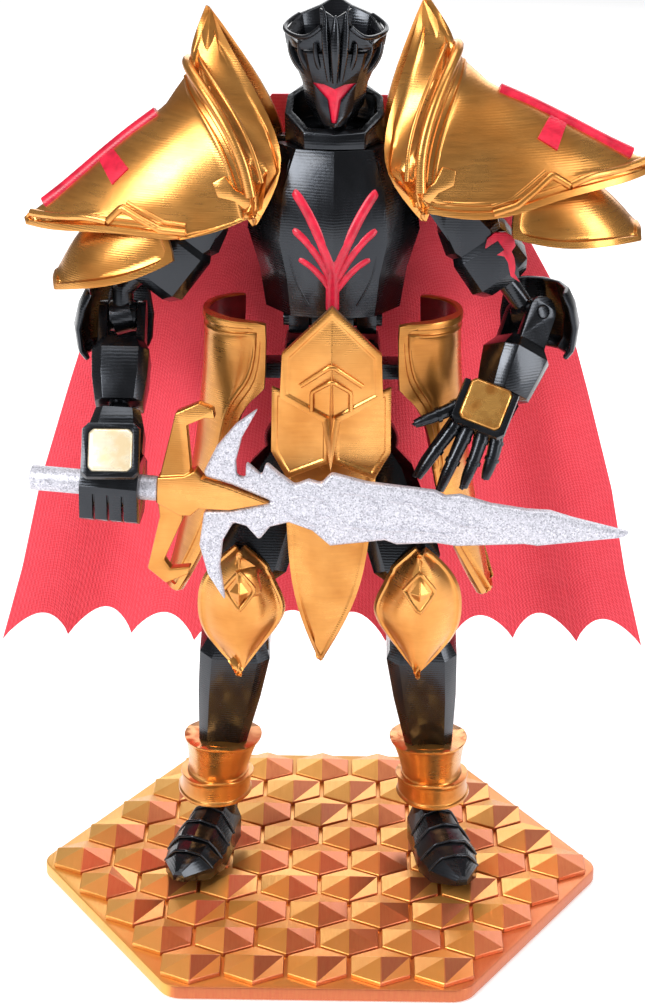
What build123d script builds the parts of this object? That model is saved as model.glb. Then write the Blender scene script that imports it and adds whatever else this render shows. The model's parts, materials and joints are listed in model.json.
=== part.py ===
"""Jointed knight figure with cape and sword on a hexagonal tiled base.

Millimetres. +Z is up and the figure looks towards -Y, so its right side is at -X.
The origin is the centre of the base's underside.
"""
from build123d import *
from math import cos, sin, radians, pi, sqrt
import os

# ---------------------------------------------------------------- driving dimensions
FIGURE_X = 1.2            # the figure stands a little to its left of the base's centre
WALL = 1.2                # printed armour wall
PIN_R = 1.0               # hinge pins of the limbs
PIN_FIT = 0.06            # radial running clearance on every pin
GAP = 0.3                 # air between pieces that move past each other

# base
BASE_R = 46.0             # corner radius of the hexagonal plate
BASE_T = 2.2
TILE_PITCH = 9.8          # flat-to-flat pitch of the hexagonal tiles
TILE_GAP = 0.6
TILE_WALL = 1.6           # straight side of a tile
TILE_PEAK = 0.7           # low pyramid on a tile
TILE_ROWS = (5, 6, 7, 8, 9, 8, 7, 6, 5)
SOLE_Z = BASE_T + TILE_WALL + TILE_PEAK + 0.2

# joint centres
WAIST_Z = 92.0
BEND_Z = 97.0
NECK = (FIGURE_X, 0.5, 127.0)
NECK_BALL_Z = 121.8
SHOULDER_OUT = 16.2
SHOULDER_Z = 117.5
ELBOW_R = (-31.0, 0.0, 97.0)
ELBOW_L = (31.5, 0.0, 98.0)
WRIST_R = (-31.0, -11.0, 85.4)
WRIST_L = (27.0, -8.0, 87.0)
ELBOW_AXIS_R = (1.0, 0.0, 0.0)
HIP_OUT = 6.6
HIP_Y = 3.0
HIP_Z = 76.0
KNEE_R = (-12.8, -4.0, 51.0)
KNEE_L = (15.2, -4.0, 51.0)
ANKLE_R = (-17.0, 3.5, 17.5)
ANKLE_L = (18.2, 3.5, 17.5)
FOOT_YAW_R = -18.0
FOOT_YAW_L = 15.0

# sword, held across the body
GRIP_CENTRE = (-31.6, -17.5, 75.9)
SWORD_DIR = (89.0, -11.0, -3.0)
GRIP_R = 1.9

CHEST_SEAM_Y = 3.1        # the chest's two printed shells meet here

# hinges of the hanging armour
HANGER_R = 0.7
FAULD_PIVOT = (FIGURE_X, -10.4, 88.2)
TASSET_OUT = 12.0
TASSET_Z = 89.0
PAULDRON_PIVOT = (FIGURE_X - 8.6, 0.0, 122.6)
LEFT_LIFT = 14.0          # the left pauldron rests lifted by this angle


# ---------------------------------------------------------------- shape helpers
def skin(rings):
    """Closed faceted solid through rings of points, one ring after another."""
    faces = []
    for lower, upper in zip(rings, rings[1:]):
        count = len(lower)
        for i in range(count):
            j = (i + 1) % count
            faces += triangles(lower[i], lower[j], upper[j], upper[i])
    faces += fan(rings[0])
    faces += fan(rings[-1])
    return Solid(Shell(faces))


def triangles(a, b, c, d):
    """The two triangles of a quad, leaving out any that has no area."""
    out = []
    for tri in ((a, b, c), (a, c, d)):
        p, q, r = (Vector(*t) for t in tri)
        if (q - p).cross(r - p).length > 1e-6:
            out.append(Face(Wire.make_polygon([p, q, r], close=True)))
    return out


def fan(ring):
    """Triangles from a ring's middle to its sides."""
    middle = Vector(0, 0, 0)
    for point in ring:
        middle += Vector(*point)
    middle = middle * (1 / len(ring))
    out = []
    for a, b in zip(ring, ring[1:] + ring[:1]):
        out.append(Face(Wire.make_polygon([middle, Vector(*a), Vector(*b)], close=True)))
    return out


def plate(grid, thickness):
    """A wall of even thickness behind a grid of points that face outwards."""
    rows, cols = len(grid), len(grid[0])
    outer = [[Vector(*p) for p in row] for row in grid]
    inner = []
    for i in range(rows):
        line = []
        for j in range(cols):
            along = outer[min(i + 1, rows - 1)][j] - outer[max(i - 1, 0)][j]
            across = outer[i][min(j + 1, cols - 1)] - outer[i][max(j - 1, 0)]
            line.append(outer[i][j] - along.cross(across).normalized() * thickness)
        inner.append(line)
    faces = []
    for side in (outer, inner):
        for i in range(rows - 1):
            for j in range(cols - 1):
                quad = (side[i][j], side[i + 1][j], side[i + 1][j + 1], side[i][j + 1])
                faces += triangles(*(tuple(p) for p in quad))
    edge = [(i, 0) for i in range(rows)] + [(rows - 1, j) for j in range(1, cols)]
    edge += [(i, cols - 1) for i in range(rows - 2, -1, -1)] + [(0, j) for j in range(cols - 2, 0, -1)]
    for (i, j), (k, m) in zip(edge, edge[1:] + edge[:1]):
        faces += triangles(*(tuple(p) for p in (outer[i][j], outer[k][m], inner[k][m], inner[i][j])))
    return Solid(Shell(faces))


def octagon(z, hx, hy, x=0.0, y=0.0, cut=0.35):
    """A rectangle with cut corners at height z."""
    kx, ky = hx * (1 - cut), hy * (1 - cut)
    flat = [(kx, -hy), (hx, -ky), (hx, ky), (kx, hy), (-kx, hy), (-hx, ky), (-hx, -ky), (-kx, -hy)]
    return [(x + px, y + py, z) for px, py in flat]


def shield(z, half, front, back, keel, x=0.0, y=0.0):
    """An armour section at height z: a ridge in front, flat flanks, a rounder back."""
    flat = [
        (0, -front - keel), (half * 0.62, -front), (half, -front * 0.25), (half * 0.95, back * 0.45),
        (half * 0.55, back), (-half * 0.55, back), (-half * 0.95, back * 0.45), (-half, -front * 0.25),
        (-half * 0.62, -front),
    ]
    return [(x + px, y + py, z) for px, py in flat]


def outline(points, depth, y=0.0):
    """A flat piece with its outline in the X-Z plane, from y - depth/2 to y + depth/2."""
    wire = Wire.make_polygon([Vector(px, y - depth / 2, pz) for px, pz in points], close=True)
    return Solid.extrude(Face(wire), Vector(0, depth, 0))


def rod(start, end, radius):
    """A round bar from start to end."""
    a, b = Vector(*start), Vector(*end)
    return Solid.make_cylinder(radius, (b - a).length, Plane(origin=a, z_dir=b - a))


def aim(start, end, side=(1, 0, 0)):
    """Placement whose Z runs from start to end, with X as near as can be to side."""
    z = (Vector(*end) - Vector(*start)).normalized()
    x = Vector(*side)
    x = (x - z * x.dot(z)).normalized()
    return Location(Plane(origin=Vector(*start), x_dir=x, z_dir=z))


def distance(a, b):
    return (Vector(*b) - Vector(*a)).length


def mirrored(shape):
    """The same piece on the figure's other side."""
    return shape.mirror(Plane(origin=(FIGURE_X, 0, 0), z_dir=(1, 0, 0)))


def one(shape):
    """The single solid of a boolean result."""
    solids = shape.solids()
    solids.sort(key=lambda s: -s.volume)
    return solids[0]


def save(name, *solids):
    os.makedirs("parts", exist_ok=True)
    shape = solids[0] if len(solids) == 1 else Compound(children=list(solids))
    export_step(shape, f"parts/{name}.step")


# ---------------------------------------------------------------- base
def base_plate():
    hexagon = RegularPolygon(BASE_R, 6)
    body = extrude(hexagon, BASE_T)
    corners = body.edges().filter_by(Axis.Z)
    return one(fillet(corners, 4.0))


def base_tile(x, y):
    """A hexagonal tile with points towards the front and back and a low six-sided peak."""
    radius = (TILE_PITCH - TILE_GAP) / 2 / cos(radians(30))
    rim = [(x + radius * cos(radians(30 + 60 * k)), y + radius * sin(radians(30 + 60 * k))) for k in range(6)]
    low = [(px, py, BASE_T) for px, py in rim]
    high = [(px, py, BASE_T + TILE_WALL) for px, py in rim]
    faces = []
    for i in range(6):
        j = (i + 1) % 6
        faces += triangles(low[i], low[j], high[j], high[i])
        peak = (x, y, BASE_T + TILE_WALL + TILE_PEAK)
        faces.append(Face(Wire.make_polygon([Vector(*high[i]), Vector(*high[j]), Vector(*peak)], close=True)))
    faces.append(Face(Wire.make_polygon([Vector(*p) for p in low], close=True)))
    return Solid(Shell(faces))


def base_tiles():
    tiles = []
    middle = (len(TILE_ROWS) - 1) / 2
    for row, count in enumerate(TILE_ROWS):
        y = (row - middle) * TILE_PITCH * cos(radians(30))
        for k in range(count):
            tiles.append(base_tile((k - (count - 1) / 2) * TILE_PITCH, y))
    return tiles


# ---------------------------------------------------------------- trunk
def pelvis_block():
    rings = [
        shield(70.5, 1.4, 3.0, 3.6, 0.5, FIGURE_X),
        shield(76.0, 4.4, 4.4, 5.2, 0.6, FIGURE_X),
        shield(80.5, 7.0, 5.2, 5.8, 0.6, FIGURE_X),
        shield(84.0, 7.6, 5.6, 6.0, 0.6, FIGURE_X),
        shield(WAIST_Z - GAP, 7.2, 5.4, 5.8, 0.6, FIGURE_X),
    ]
    block = skin(rings)
    block -= rod((FIGURE_X, 0, 80), (FIGURE_X, 0, WAIST_Z), 2.5 + PIN_FIT)
    for side in (-1, 1):
        hip = (FIGURE_X + side * HIP_OUT, HIP_Y, HIP_Z)
        block -= Solid.make_sphere(4.4, Plane(hip), -90, 90, 360)
        block += rod((FIGURE_X + side * 1.5, HIP_Y, HIP_Z), (hip[0] - side * 0.2, HIP_Y, HIP_Z), PIN_R)
    block += pelvis_lugs()
    return one(block)


def pelvis_lugs():
    """Brackets that carry the front fauld and the two tassets."""
    x, y, z = FAULD_PIVOT
    front = Solid.make_box(5.0, 7.0, 2.4, Plane((x - 2.5, y - 1.4, z - 1.2)))
    lugs = front - rod((x - 4, y, z), (x + 4, y, z), HANGER_R + PIN_FIT)
    for side in (-1, 1):
        pivot_x = FIGURE_X + side * TASSET_OUT
        start, end = FIGURE_X + side * 6.6, pivot_x + side * 1.2
        arm = Solid.make_box(abs(end - start), 4.0, 2.4, Plane((min(start, end), -2.0, TASSET_Z - 1.2)))
        lugs += arm - rod((pivot_x, -3, TASSET_Z), (pivot_x, 3, TASSET_Z), HANGER_R + PIN_FIT)
    return lugs


def abdomen_core():
    """The waist drum: it turns on the pelvis and carries the chest's bending pin."""
    drum = skin([octagon(WAIST_Z, 7.4, 5.4, FIGURE_X), octagon(94.0, 7.0, 5.0, FIGURE_X)])
    drum += rod((FIGURE_X, 0, 82.0), (FIGURE_X, 0, WAIST_Z + 0.1), 2.5)
    drum += Solid.make_box(6.4, 4.8, 3.2, Plane((FIGURE_X - 3.2, -2.4, 93.8)))
    drum += rod((FIGURE_X - 3.2, 0, BEND_Z), (FIGURE_X + 3.2, 0, BEND_Z), 2.4)
    return one(drum - bend_pin())


def bend_pin():
    """The pin through the waist drum; the chest's two ears turn on its ends."""
    return rod((FIGURE_X - 7.6, 0, BEND_Z), (FIGURE_X + 7.6, 0, BEND_Z), 1.2)


def chest_rings(grow=0.0):
    sections = (
        (99.6, 10.2, 7.2, 6.6, 1.6), (106.0, 11.2, 8.4, 7.2, 2.0), (112.0, 13.0, 9.2, 7.8, 2.6),
        (119.5, 12.2, 8.6, 7.4, 2.2), (125.2, 9.2, 6.4, 6.0, 1.2),
    )
    rings = []
    for z, half, front, back, keel in sections:
        rings.append(shield(z, half + grow, front + grow, back + grow, keel, FIGURE_X))
    return rings


def vein_pattern():
    """The branching inlay seen from the front: one stem and three pairs of branches."""
    x, z = FIGURE_X + 0.3, 109.6
    stem = [(x - 0.95, 101.0), (x + 0.95, 101.0), (x + 0.75, z), (x, z + 2.2), (x - 0.75, z)]
    pattern = outline(stem, 14, -9)
    # each branch: where it leaves the stem, where it bends, where it ends, and its width
    branches = ((0.2, 3.2, 8.0, 6.2, 10.4, 1.15), (0.0, 3.6, 3.0, 6.4, 4.6, 0.95), (-0.6, 3.0, 0.2, 5.4, -0.2, 0.8))
    for foot, bend_x, bend_z, tip_x, tip_z, width in branches:
        for side in (-1, 1):
            points = [
                (x + side * 0.3, z + foot - 1.4), (x + side * (bend_x + width * 0.8), z + bend_z - 0.2),
                (x + side * tip_x, z + tip_z), (x + side * (bend_x - width * 0.35), z + bend_z + 0.9),
                (x + side * 0.1, z + foot + 1.2),
            ]
            pattern += outline(points, 14, -9)
    return pattern


def chest_solids():
    """Front shell, back shell and the inlay, cut from one faceted body."""
    body = skin(chest_rings())
    hollow = skin([shield(z, h, f, b, k, FIGURE_X) for z, h, f, b, k in (
        (99.0, 8.2, 4.9, 4.9, 0.2), (103.0, 8.0, 4.8, 4.8, 0.3), (108.0, 3.0, 3.0, 3.0, 0.3))])
    body -= hollow
    body -= Solid.make_sphere(2.5 + PIN_FIT, Plane((FIGURE_X, NECK[1], NECK_BALL_Z)), -90, 90, 360)
    body -= rod((FIGURE_X, NECK[1], NECK_BALL_Z), (FIGURE_X, NECK[1], 130), 2.5)
    for side in (-1, 1):
        x = FIGURE_X + side * SHOULDER_OUT
        body -= Solid.make_sphere(4.6, Plane((x, 0, SHOULDER_Z)), -90, 90, 360)
        body -= rod((x - side * 9.2, 0, SHOULDER_Z), (x, 0, SHOULDER_Z), 2.0 + PIN_FIT)
        pivot_x, pivot_z = FIGURE_X + side * (FIGURE_X - PAULDRON_PIVOT[0]), PAULDRON_PIVOT[2]
        slot_x = pivot_x - side * 1.8
        body -= Solid.make_box(8.0, 3.4, 8.0, Plane((min(slot_x, slot_x + side * 8.0), -1.7, pivot_z - 2.3)))
        body += rod((pivot_x, -2.6, pivot_z), (pivot_x, 2.6, pivot_z), PIN_R)
    for side in (-1, 1):
        ear_x = FIGURE_X + side * 5.2
        ear = Solid.make_box(3.0, 4.8, 11.0, Plane((ear_x - 1.5, -2.4, BEND_Z)))
        ear += rod((ear_x - 1.5, 0, BEND_Z), (ear_x + 1.5, 0, BEND_Z), 2.4)
        body += ear
    body -= rod((FIGURE_X - 9, 0, BEND_Z), (FIGURE_X + 9, 0, BEND_Z), 1.2 + PIN_FIT)
    pattern = vein_pattern()
    inlay = (skin(chest_rings(0.35)) & pattern) - skin(chest_rings(0.02))
    front = body & Solid.make_box(60, 30 + CHEST_SEAM_Y, 60, Plane((FIGURE_X - 30, -30.0, 90)))
    back = body & Solid.make_box(60, 30, 60, Plane((FIGURE_X - 30, CHEST_SEAM_Y + 0.05, 90)))
    return one(front), one(back), one(inlay)


def gorget():
    """The neck guard: an upstanding ring open at the top, with a throat plate in front."""
    outer = skin([
        shield(125.3, 7.4, 6.6, 5.4, 0.8, FIGURE_X), shield(129.0, 7.5, 6.4, 5.8, 0.6, FIGURE_X, 0.2),
        shield(132.2, 7.6, 5.2, 6.4, 0.2, FIGURE_X, 0.6),
    ])
    bowl = skin([
        shield(125.0, 2.7, 2.7, 2.7, 0.0, FIGURE_X, 0.5), shield(126.6, 2.9, 2.9, 2.9, 0.0, FIGURE_X, 0.5),
        shield(127.4, 6.1, 5.4, 4.6, 0.2, FIGURE_X, 0.4), shield(132.6, 6.6, 5.6, 5.6, 0.2, FIGURE_X, 0.6),
    ])
    ring = outer - bowl
    # the rim is cut on a slope, low below the chin and high at the nape
    slope = Plane(origin=(FIGURE_X, 0, 130.0), x_dir=(1, 0, 0), z_dir=(0, -0.36, 1))
    ring -= Solid.make_box(40, 40, 10, slope.offset(0)).moved(
        Location(slope.x_dir * -20 + slope.y_dir * -20))
    return one(ring)


def neck_post():
    """A ball in the chest's socket, a short neck, and a spigot that the helmet turns on."""
    ball = Solid.make_sphere(2.5, Plane((FIGURE_X, NECK[1], NECK_BALL_Z)), -90, 90, 360)
    post = rod((FIGURE_X, NECK[1], NECK_BALL_Z), (FIGURE_X, NECK[1], 130.6), 1.5)
    return one(ball + post)


def helmet():
    """Jaw, cheeks and ribbed dome, with a T-shaped slot for the visor."""
    x = FIGURE_X
    rings = [
        shield(128.6, 2.6, 4.6, 1.6, 1.6, x, -0.6), shield(131.0, 4.3, 4.6, 4.2, 1.6, x, -0.4),
        shield(134.4, 4.9, 4.8, 5.0, 1.3, x, -0.3), shield(137.0, 6.0, 5.6, 5.8, 1.0, x),
        shield(139.5, 6.8, 6.0, 6.4, 0.9, x), shield(139.7, 5.2, 4.6, 4.8, 0.5, x),
        shield(142.0, 2.8, 2.4, 2.8, 0.2, x),
    ]
    dome = skin(rings)
    dome -= rod((x, NECK[1], 126), (x, NECK[1], 131.0), 1.5 + PIN_FIT)
    return one(dome - skin(visor_rings()))


def visor_rings():
    """The visor's slot: a wedge through the brow that narrows to the chin."""
    x = FIGURE_X - 0.1
    front, back = -8.6, -4.4
    tee = [
        (x - 3.3, 135.0), (x - 1.0, 132.6), (x - 0.45, 129.2), (x + 0.45, 129.2), (x + 1.0, 132.6),
        (x + 3.3, 135.0), (x + 1.6, 134.9), (x, 134.3), (x - 1.6, 134.9),
    ]
    return [[(px, y, pz) for px, pz in tee] for y in (front, back)]


def visor():
    """The red visor, a little behind the face of the helmet around it."""
    tee = skin(visor_rings())
    rings = [
        shield(128.6, 2.6, 4.25, 1.6, 1.6, FIGURE_X, -0.6), shield(131.0, 4.3, 4.25, 4.2, 1.6, FIGURE_X, -0.4),
        shield(134.4, 4.9, 4.45, 5.0, 1.3, FIGURE_X, -0.3), shield(137.0, 6.0, 5.25, 5.8, 1.0, FIGURE_X),
    ]
    return one(tee & skin(rings))


def crown_points():
    """The notched crest round the top of the helmet: side corners, horns and a centre peak."""
    x = FIGURE_X
    lean = 0.16
    rim = (
        (7.6, -1.0, 141.6), (5.4, -4.8, 140.6), (2.1, -6.6, 144.0), (2.4, -6.8, 146.4),
        (0.0, -7.3, 145.0),
    )
    right = [(x + px, py, pz) for px, py, pz in rim]
    left = [(x - px, py, pz) for px, py, pz in rim[::-1]][1:]
    back = ((-5.6, 4.8, 143.2), (-2.4, 6.6, 144.2), (0.0, 7.0, 145.6), (2.4, 6.6, 144.2), (5.6, 4.8, 143.2))
    top = right + left + [(x + px, py, pz) for px, py, pz in back]
    middle = (x, 0.2)
    low = []
    for px, py, pz in top:
        reach = sqrt((px - x) ** 2 + py ** 2)
        shrink = (reach - lean * (pz - 139.8)) / reach
        low.append((middle[0] + (px - x) * shrink, py * shrink, 139.8))
    return low, top


def crown():
    low, top = crown_points()
    x = FIGURE_X
    inner_low = [(x + (px - x) * 0.86, py * 0.86, pz) for px, py, pz in low]
    inner_top = [(x + (px - x) * 0.9, py * 0.9, pz - 0.1) for px, py, pz in top]
    faces = []
    count = len(low)
    for i in range(count):
        j = (i + 1) % count
        faces += triangles(low[i], low[j], top[j], top[i])
        faces += triangles(top[i], top[j], inner_top[j], inner_top[i])
        faces += triangles(inner_top[i], inner_top[j], inner_low[j], inner_low[i])
        faces += triangles(inner_low[i], inner_low[j], low[j], low[i])
    return Solid(Shell(faces))


# ---------------------------------------------------------------- pauldrons
def arch(x_top, z_top, x_low, y_front, y_back, z_low, steps=8):
    """An arch over the shoulder from its low back edge to its low front edge."""
    points = []
    for i in range(steps + 1):
        a = radians(-90 + 180 * i / steps)
        reach = y_front if a > 0 else y_back
        x = x_top + (x_low - x_top) * sin(a) ** 2
        points.append((x, -reach * sin(a), z_low + (z_top - z_low) * cos(a)))
    return points


def pauldron_main():
    """The leaf-shaped dome over the shoulder, from the raised ridge out to the tip."""
    arches = [
        arch(-20.6, 136.0, -10.2, 12.4, 7.8, 116.6), arch(-24.4, 131.0, -16.0, 12.8, 8.0, 114.0),
        arch(-28.6, 128.0, -22.4, 12.8, 8.0, 112.6), arch(-33.6, 123.6, -29.6, 10.8, 7.6, 113.2),
        arch(-38.4, 119.2, -36.0, 8.0, 6.2, 112.6), arch(-42.6, 115.4, -41.6, 4.8, 4.0, 111.8),
        arch(-45.8, 112.6, -45.6, 0.8, 0.8, 111.6),
    ]
    return plate(arches, WALL)


def pauldron_bar():
    """The arm inside the dome that hangs the pauldron on its pivot pin."""
    x, z = PAULDRON_PIVOT[0], PAULDRON_PIVOT[2]
    bar = outline([(x, z - 1.5), (x, z + 1.5), (-21.0, 131.6), (-23.0, 129.6), (-15.4, z)], 2.8)
    bar += rod((x, -1.4, z), (x, 1.4, z), 1.5)
    return bar - rod((x, -3, z), (x, 3, z), PIN_R + PIN_FIT)


def pauldron_collar():
    """The standing collar: a flared flange from the ridge up towards the head."""
    rim = [
        (-10.6, 8.2, 114.6), (-6.6, 7.6, 120.4), (-6.2, 5.8, 126.0), (-11.0, 3.4, 135.6), (-18.2, 0.6, 145.4),
        (-14.6, -1.6, 139.6), (-7.8, -5.6, 129.2), (-5.6, -9.0, 122.6), (-10.2, -12.6, 115.0),
    ]
    ridge = arch(-20.9, 136.4, -10.6, 12.7, 8.1, 116.9)
    middle = []
    for a, b in zip(rim, ridge):
        middle.append(tuple(a[k] * 0.5 + b[k] * 0.5 for k in range(3)))
    middle = [(x - 1.0 * sin(pi * i / 8), y, z - 1.6 * sin(pi * i / 8)) for i, (x, y, z) in enumerate(middle)]
    shift = 0.05
    edge = [(x + shift + 0.4, y, z) for x, y, z in ridge]
    return one(plate([rim, middle, edge], WALL) - pauldron_main())


def pauldron_lower():
    """The second layer, which shows below the dome round the outside of the arm."""
    arches = [
        arch(-29.0, 120.0, -22.4, 10.2, 7.6, 108.8, 6), arch(-34.8, 115.4, -29.6, 9.8, 7.6, 105.0, 6),
        arch(-39.4, 109.6, -36.6, 7.4, 6.6, 103.4, 6), arch(-41.8, 103.4, -41.4, 2.6, 2.6, 101.8, 6),
    ]
    return one(plate(arches, WALL) - pauldron_main())


def pauldron_band():
    """The red inlay on the dome: a strip along the crest and a flag that hangs in front."""
    crest = [(-28.8, 128.6), (-33.8, 124.1), (-38.6, 119.7), (-43.0, 115.6)]
    strip = [[(x, y, z - 0.06 * abs(y) ** 2) for y in (1.6, 0.0, -1.6)] for x, z in crest]
    return plate(strip, 0.4)


def shoulder(side):
    """Round shoulder block with its axle into the chest and the pin the arm is raised on."""
    x = FIGURE_X + side * SHOULDER_OUT
    block = Solid.make_sphere(3.3, Plane((x, 0, SHOULDER_Z)), -90, 90, 360)
    block += rod((x, 0, SHOULDER_Z), (x - side * 9.0, 0, SHOULDER_Z), 2.0)
    block += rod((x, -5.4, SHOULDER_Z), (x, 5.4, SHOULDER_Z), PIN_R)
    return one(block)


def ears(inner, outer, radius, reach, axis="y"):
    """Two side plates with round ends that turn on a pin; the limb runs along Z."""
    pair = []
    for sign in (-1, 1):
        near, far = sign * inner, sign * outer
        low, high = min(near, far), max(near, far)
        if axis == "y":
            flat = Solid.make_box(2 * radius, high - low, reach, Plane((-radius, low, 0)))
            round_end = rod((0, low, 0), (0, high, 0), radius)
        else:
            flat = Solid.make_box(high - low, 2 * radius, reach, Plane((low, -radius, 0)))
            round_end = rod((low, 0, 0), (high, 0, 0), radius)
        pair.append(flat + round_end)
    return pair[0] + pair[1]


def elbow_axis(side):
    """The elbow's hinge line: square to the forearm, and on the left to the upper arm too."""
    if side < 0:
        return Vector(*ELBOW_AXIS_R)
    upper = Vector(*ELBOW_L) - Vector(FIGURE_X + SHOULDER_OUT, 0, SHOULDER_Z)
    fore = Vector(*WRIST_L) - Vector(*ELBOW_L)
    return fore.cross(upper).normalized()


def across(centre, axis, half, radius):
    """A round bar centred on a point, along an axis."""
    middle = Vector(*centre)
    return rod(tuple(middle - axis * half), tuple(middle + axis * half), radius)


def upper_arm(side, elbow):
    """Boxy sleeve from the shoulder's pin to the elbow's knuckle."""
    top = (FIGURE_X + side * SHOULDER_OUT, 0, SHOULDER_Z)
    length = distance(top, elbow)
    sleeve = skin([
        octagon(4.4, 3.8, 5.1), octagon(8.0, 4.8, 5.3), octagon(9.2, 4.3, 4.9), octagon(10.2, 4.8, 5.4),
        octagon(length - 8.6, 5.0, 5.2), octagon(length - 7.0, 3.8, 4.2),
    ])
    sleeve += ears(3.6, 5.1, 2.9, 6.0)
    sleeve -= rod((0, -7, 0), (0, 7, 0), PIN_R + PIN_FIT)
    arm = sleeve.moved(aim(top, elbow))
    if side < 0:
        arm += rod(elbow, (elbow[0], elbow[1], elbow[2] + 5.0), 1.6)
        arm += rod((elbow[0], elbow[1], elbow[2] + 4.4), (elbow[0] + 5.0, elbow[1], elbow[2] + 9.4), 1.6)
    else:
        arm += rod(tuple(Vector(*elbow) - (Vector(*elbow) - Vector(*top)).normalized() * 8.0), elbow, 1.6)
    arm += across(elbow, elbow_axis(side), 2.0, 2.4)
    return one(arm - elbow_pin(side, elbow, 5.0))


def elbow_pin(side, elbow, half=3.6):
    return across(elbow, elbow_axis(side), half, PIN_R)


def forearm(side, elbow, wrist):
    """Tapered forearm with two ears round the elbow and a bore for the wrist's peg."""
    length = distance(elbow, wrist) - 0.6
    wide, narrow = (4.4, 4.0) if side < 0 else (4.7, 4.0)
    arm = skin([
        octagon(4.8, 3.4, 3.0), octagon(7.0, wide, wide - 0.4), octagon(length - 4.0, narrow + 0.2, narrow),
        octagon(length, narrow - 0.4, narrow - 0.6),
    ])
    arm += ears(2.3, 3.6, 2.4, 6.6, "x")
    arm -= rod((0, 0, length - 4.2), (0, 0, length + 1), 1.5 + PIN_FIT)
    arm -= rod((-7, 0, 0), (7, 0, 0), PIN_R + PIN_FIT)
    return one(arm.moved(aim(elbow, wrist, tuple(elbow_axis(side)))))


def elbow_guard(side, elbow):
    """A ribbed cap behind and outside the elbow, fixed to the upper arm."""
    x, y, z = elbow
    rows = []
    for dz, reach, depth in ((4.4, 5.8, 6.4), (2.0, 7.0, 7.2), (-1.4, 7.8, 7.4), (-5.2, 7.4, 6.6), (-6.8, 6.2, 5.6)):
        row = []
        for a in (-25, 5, 35, 65, 95, 125):
            row.append((x + side * reach * cos(radians(a)), y + depth * sin(radians(a)), z + dz))
        rows.append(row)
    if side < 0:
        rows = rows[::-1]
    return plate(rows, 0.9)


def wrist_face(wrist, elbow):
    """The room above the wrist's flat face, where the forearm ends."""
    return rod((0, 0, -0.25), (0, 0, 8), 9.0).moved(aim(wrist, elbow, (0, 1, 0)))


def wrist_peg(wrist, elbow):
    return rod((0, 0, -2.6), (0, 0, 4.2), 1.5).moved(aim(wrist, elbow, (0, 1, 0)))


def hand_right():
    """A fist round the grip, with a peg into the forearm."""
    wrist, grip = Vector(*WRIST_R), Vector(*GRIP_CENTRE)
    sword = sword_place()
    fist = skin([[(s, y, z) for y, z in (
        (-3.6, -4.4), (-1.2, -5.6), (2.4, -5.0), (4.3, -1.6), (4.2, 2.6), (1.4, 4.6), (-2.6, 4.4), (-4.3, 1.0))]
        for s in (-4.4, 4.4)])
    for s in (-2.2, 0.0, 2.2):
        groove = Solid.make_box(0.4, 12, 7.2, Plane((s - 0.2, -6, -7.4)))
        fist -= groove - rod((s - 1, 0, 0), (s + 1, 0, 0), 3.4)
    fist = fist.moved(sword)
    palm = skin([octagon(0.4, 3.4, 3.2), octagon(3.4, 4.2, 3.6), octagon(7.0, 4.2, 3.4)])
    palm = palm.moved(aim(tuple(wrist), tuple(grip + Vector(0, 0, 1.0))))
    hand = (fist + palm + hand_frame(PLATE_R)) - wrist_face(WRIST_R, ELBOW_R)
    hand += wrist_peg(WRIST_R, ELBOW_R)
    bore = rod((-20, 0, 0), (20, 0, 0), GRIP_R + 0.06).moved(sword)
    hand = hand - bore
    return one(hand - plate_pocket(PLATE_R))


PLATE_R = Location(Plane(origin=(-31.7, -19.6, 82.0), x_dir=(1, 0, 0), z_dir=(0, -0.80, 0.60)))
PLATE_L = Location(Plane(origin=(24.4, -12.8, 87.6), x_dir=(0.93, -0.12, -0.34), z_dir=(0.02, -0.86, 0.51)))


def hand_plate(place):
    """The gold plate set into the back of the hand."""
    return skin([octagon(z, half, half, 0, 0, 0.2) for z, half in ((0.0, 3.4), (0.6, 3.4), (1.0, 3.1))]).moved(place)


def plate_pocket(place):
    return skin([octagon(z, 3.4, 3.4, 0, 0, 0.2) for z in (0.0, 2.0)]).moved(place)


def hand_frame(place):
    """The black frame round the gold plate, on the back of the hand."""
    sizes = ((-1.6, 3.9), (0.0, 4.4), (0.9, 4.2))
    return skin([octagon(z, half, half, 0, 0, 0.2) for z, half in sizes]).moved(place)


def finger(points, width):
    """A finger of square section that thins towards its tip."""
    rings = []
    for i, p in enumerate(points):
        half = width * (1 - 0.18 * i)
        rings.append([(p[0] - half, p[1], p[2]), (p[0], p[1] - half, p[2] - 0.2), (p[0] + half, p[1], p[2]),
                      (p[0], p[1] + half, p[2] + 0.2)])
    return skin(rings)


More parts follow.
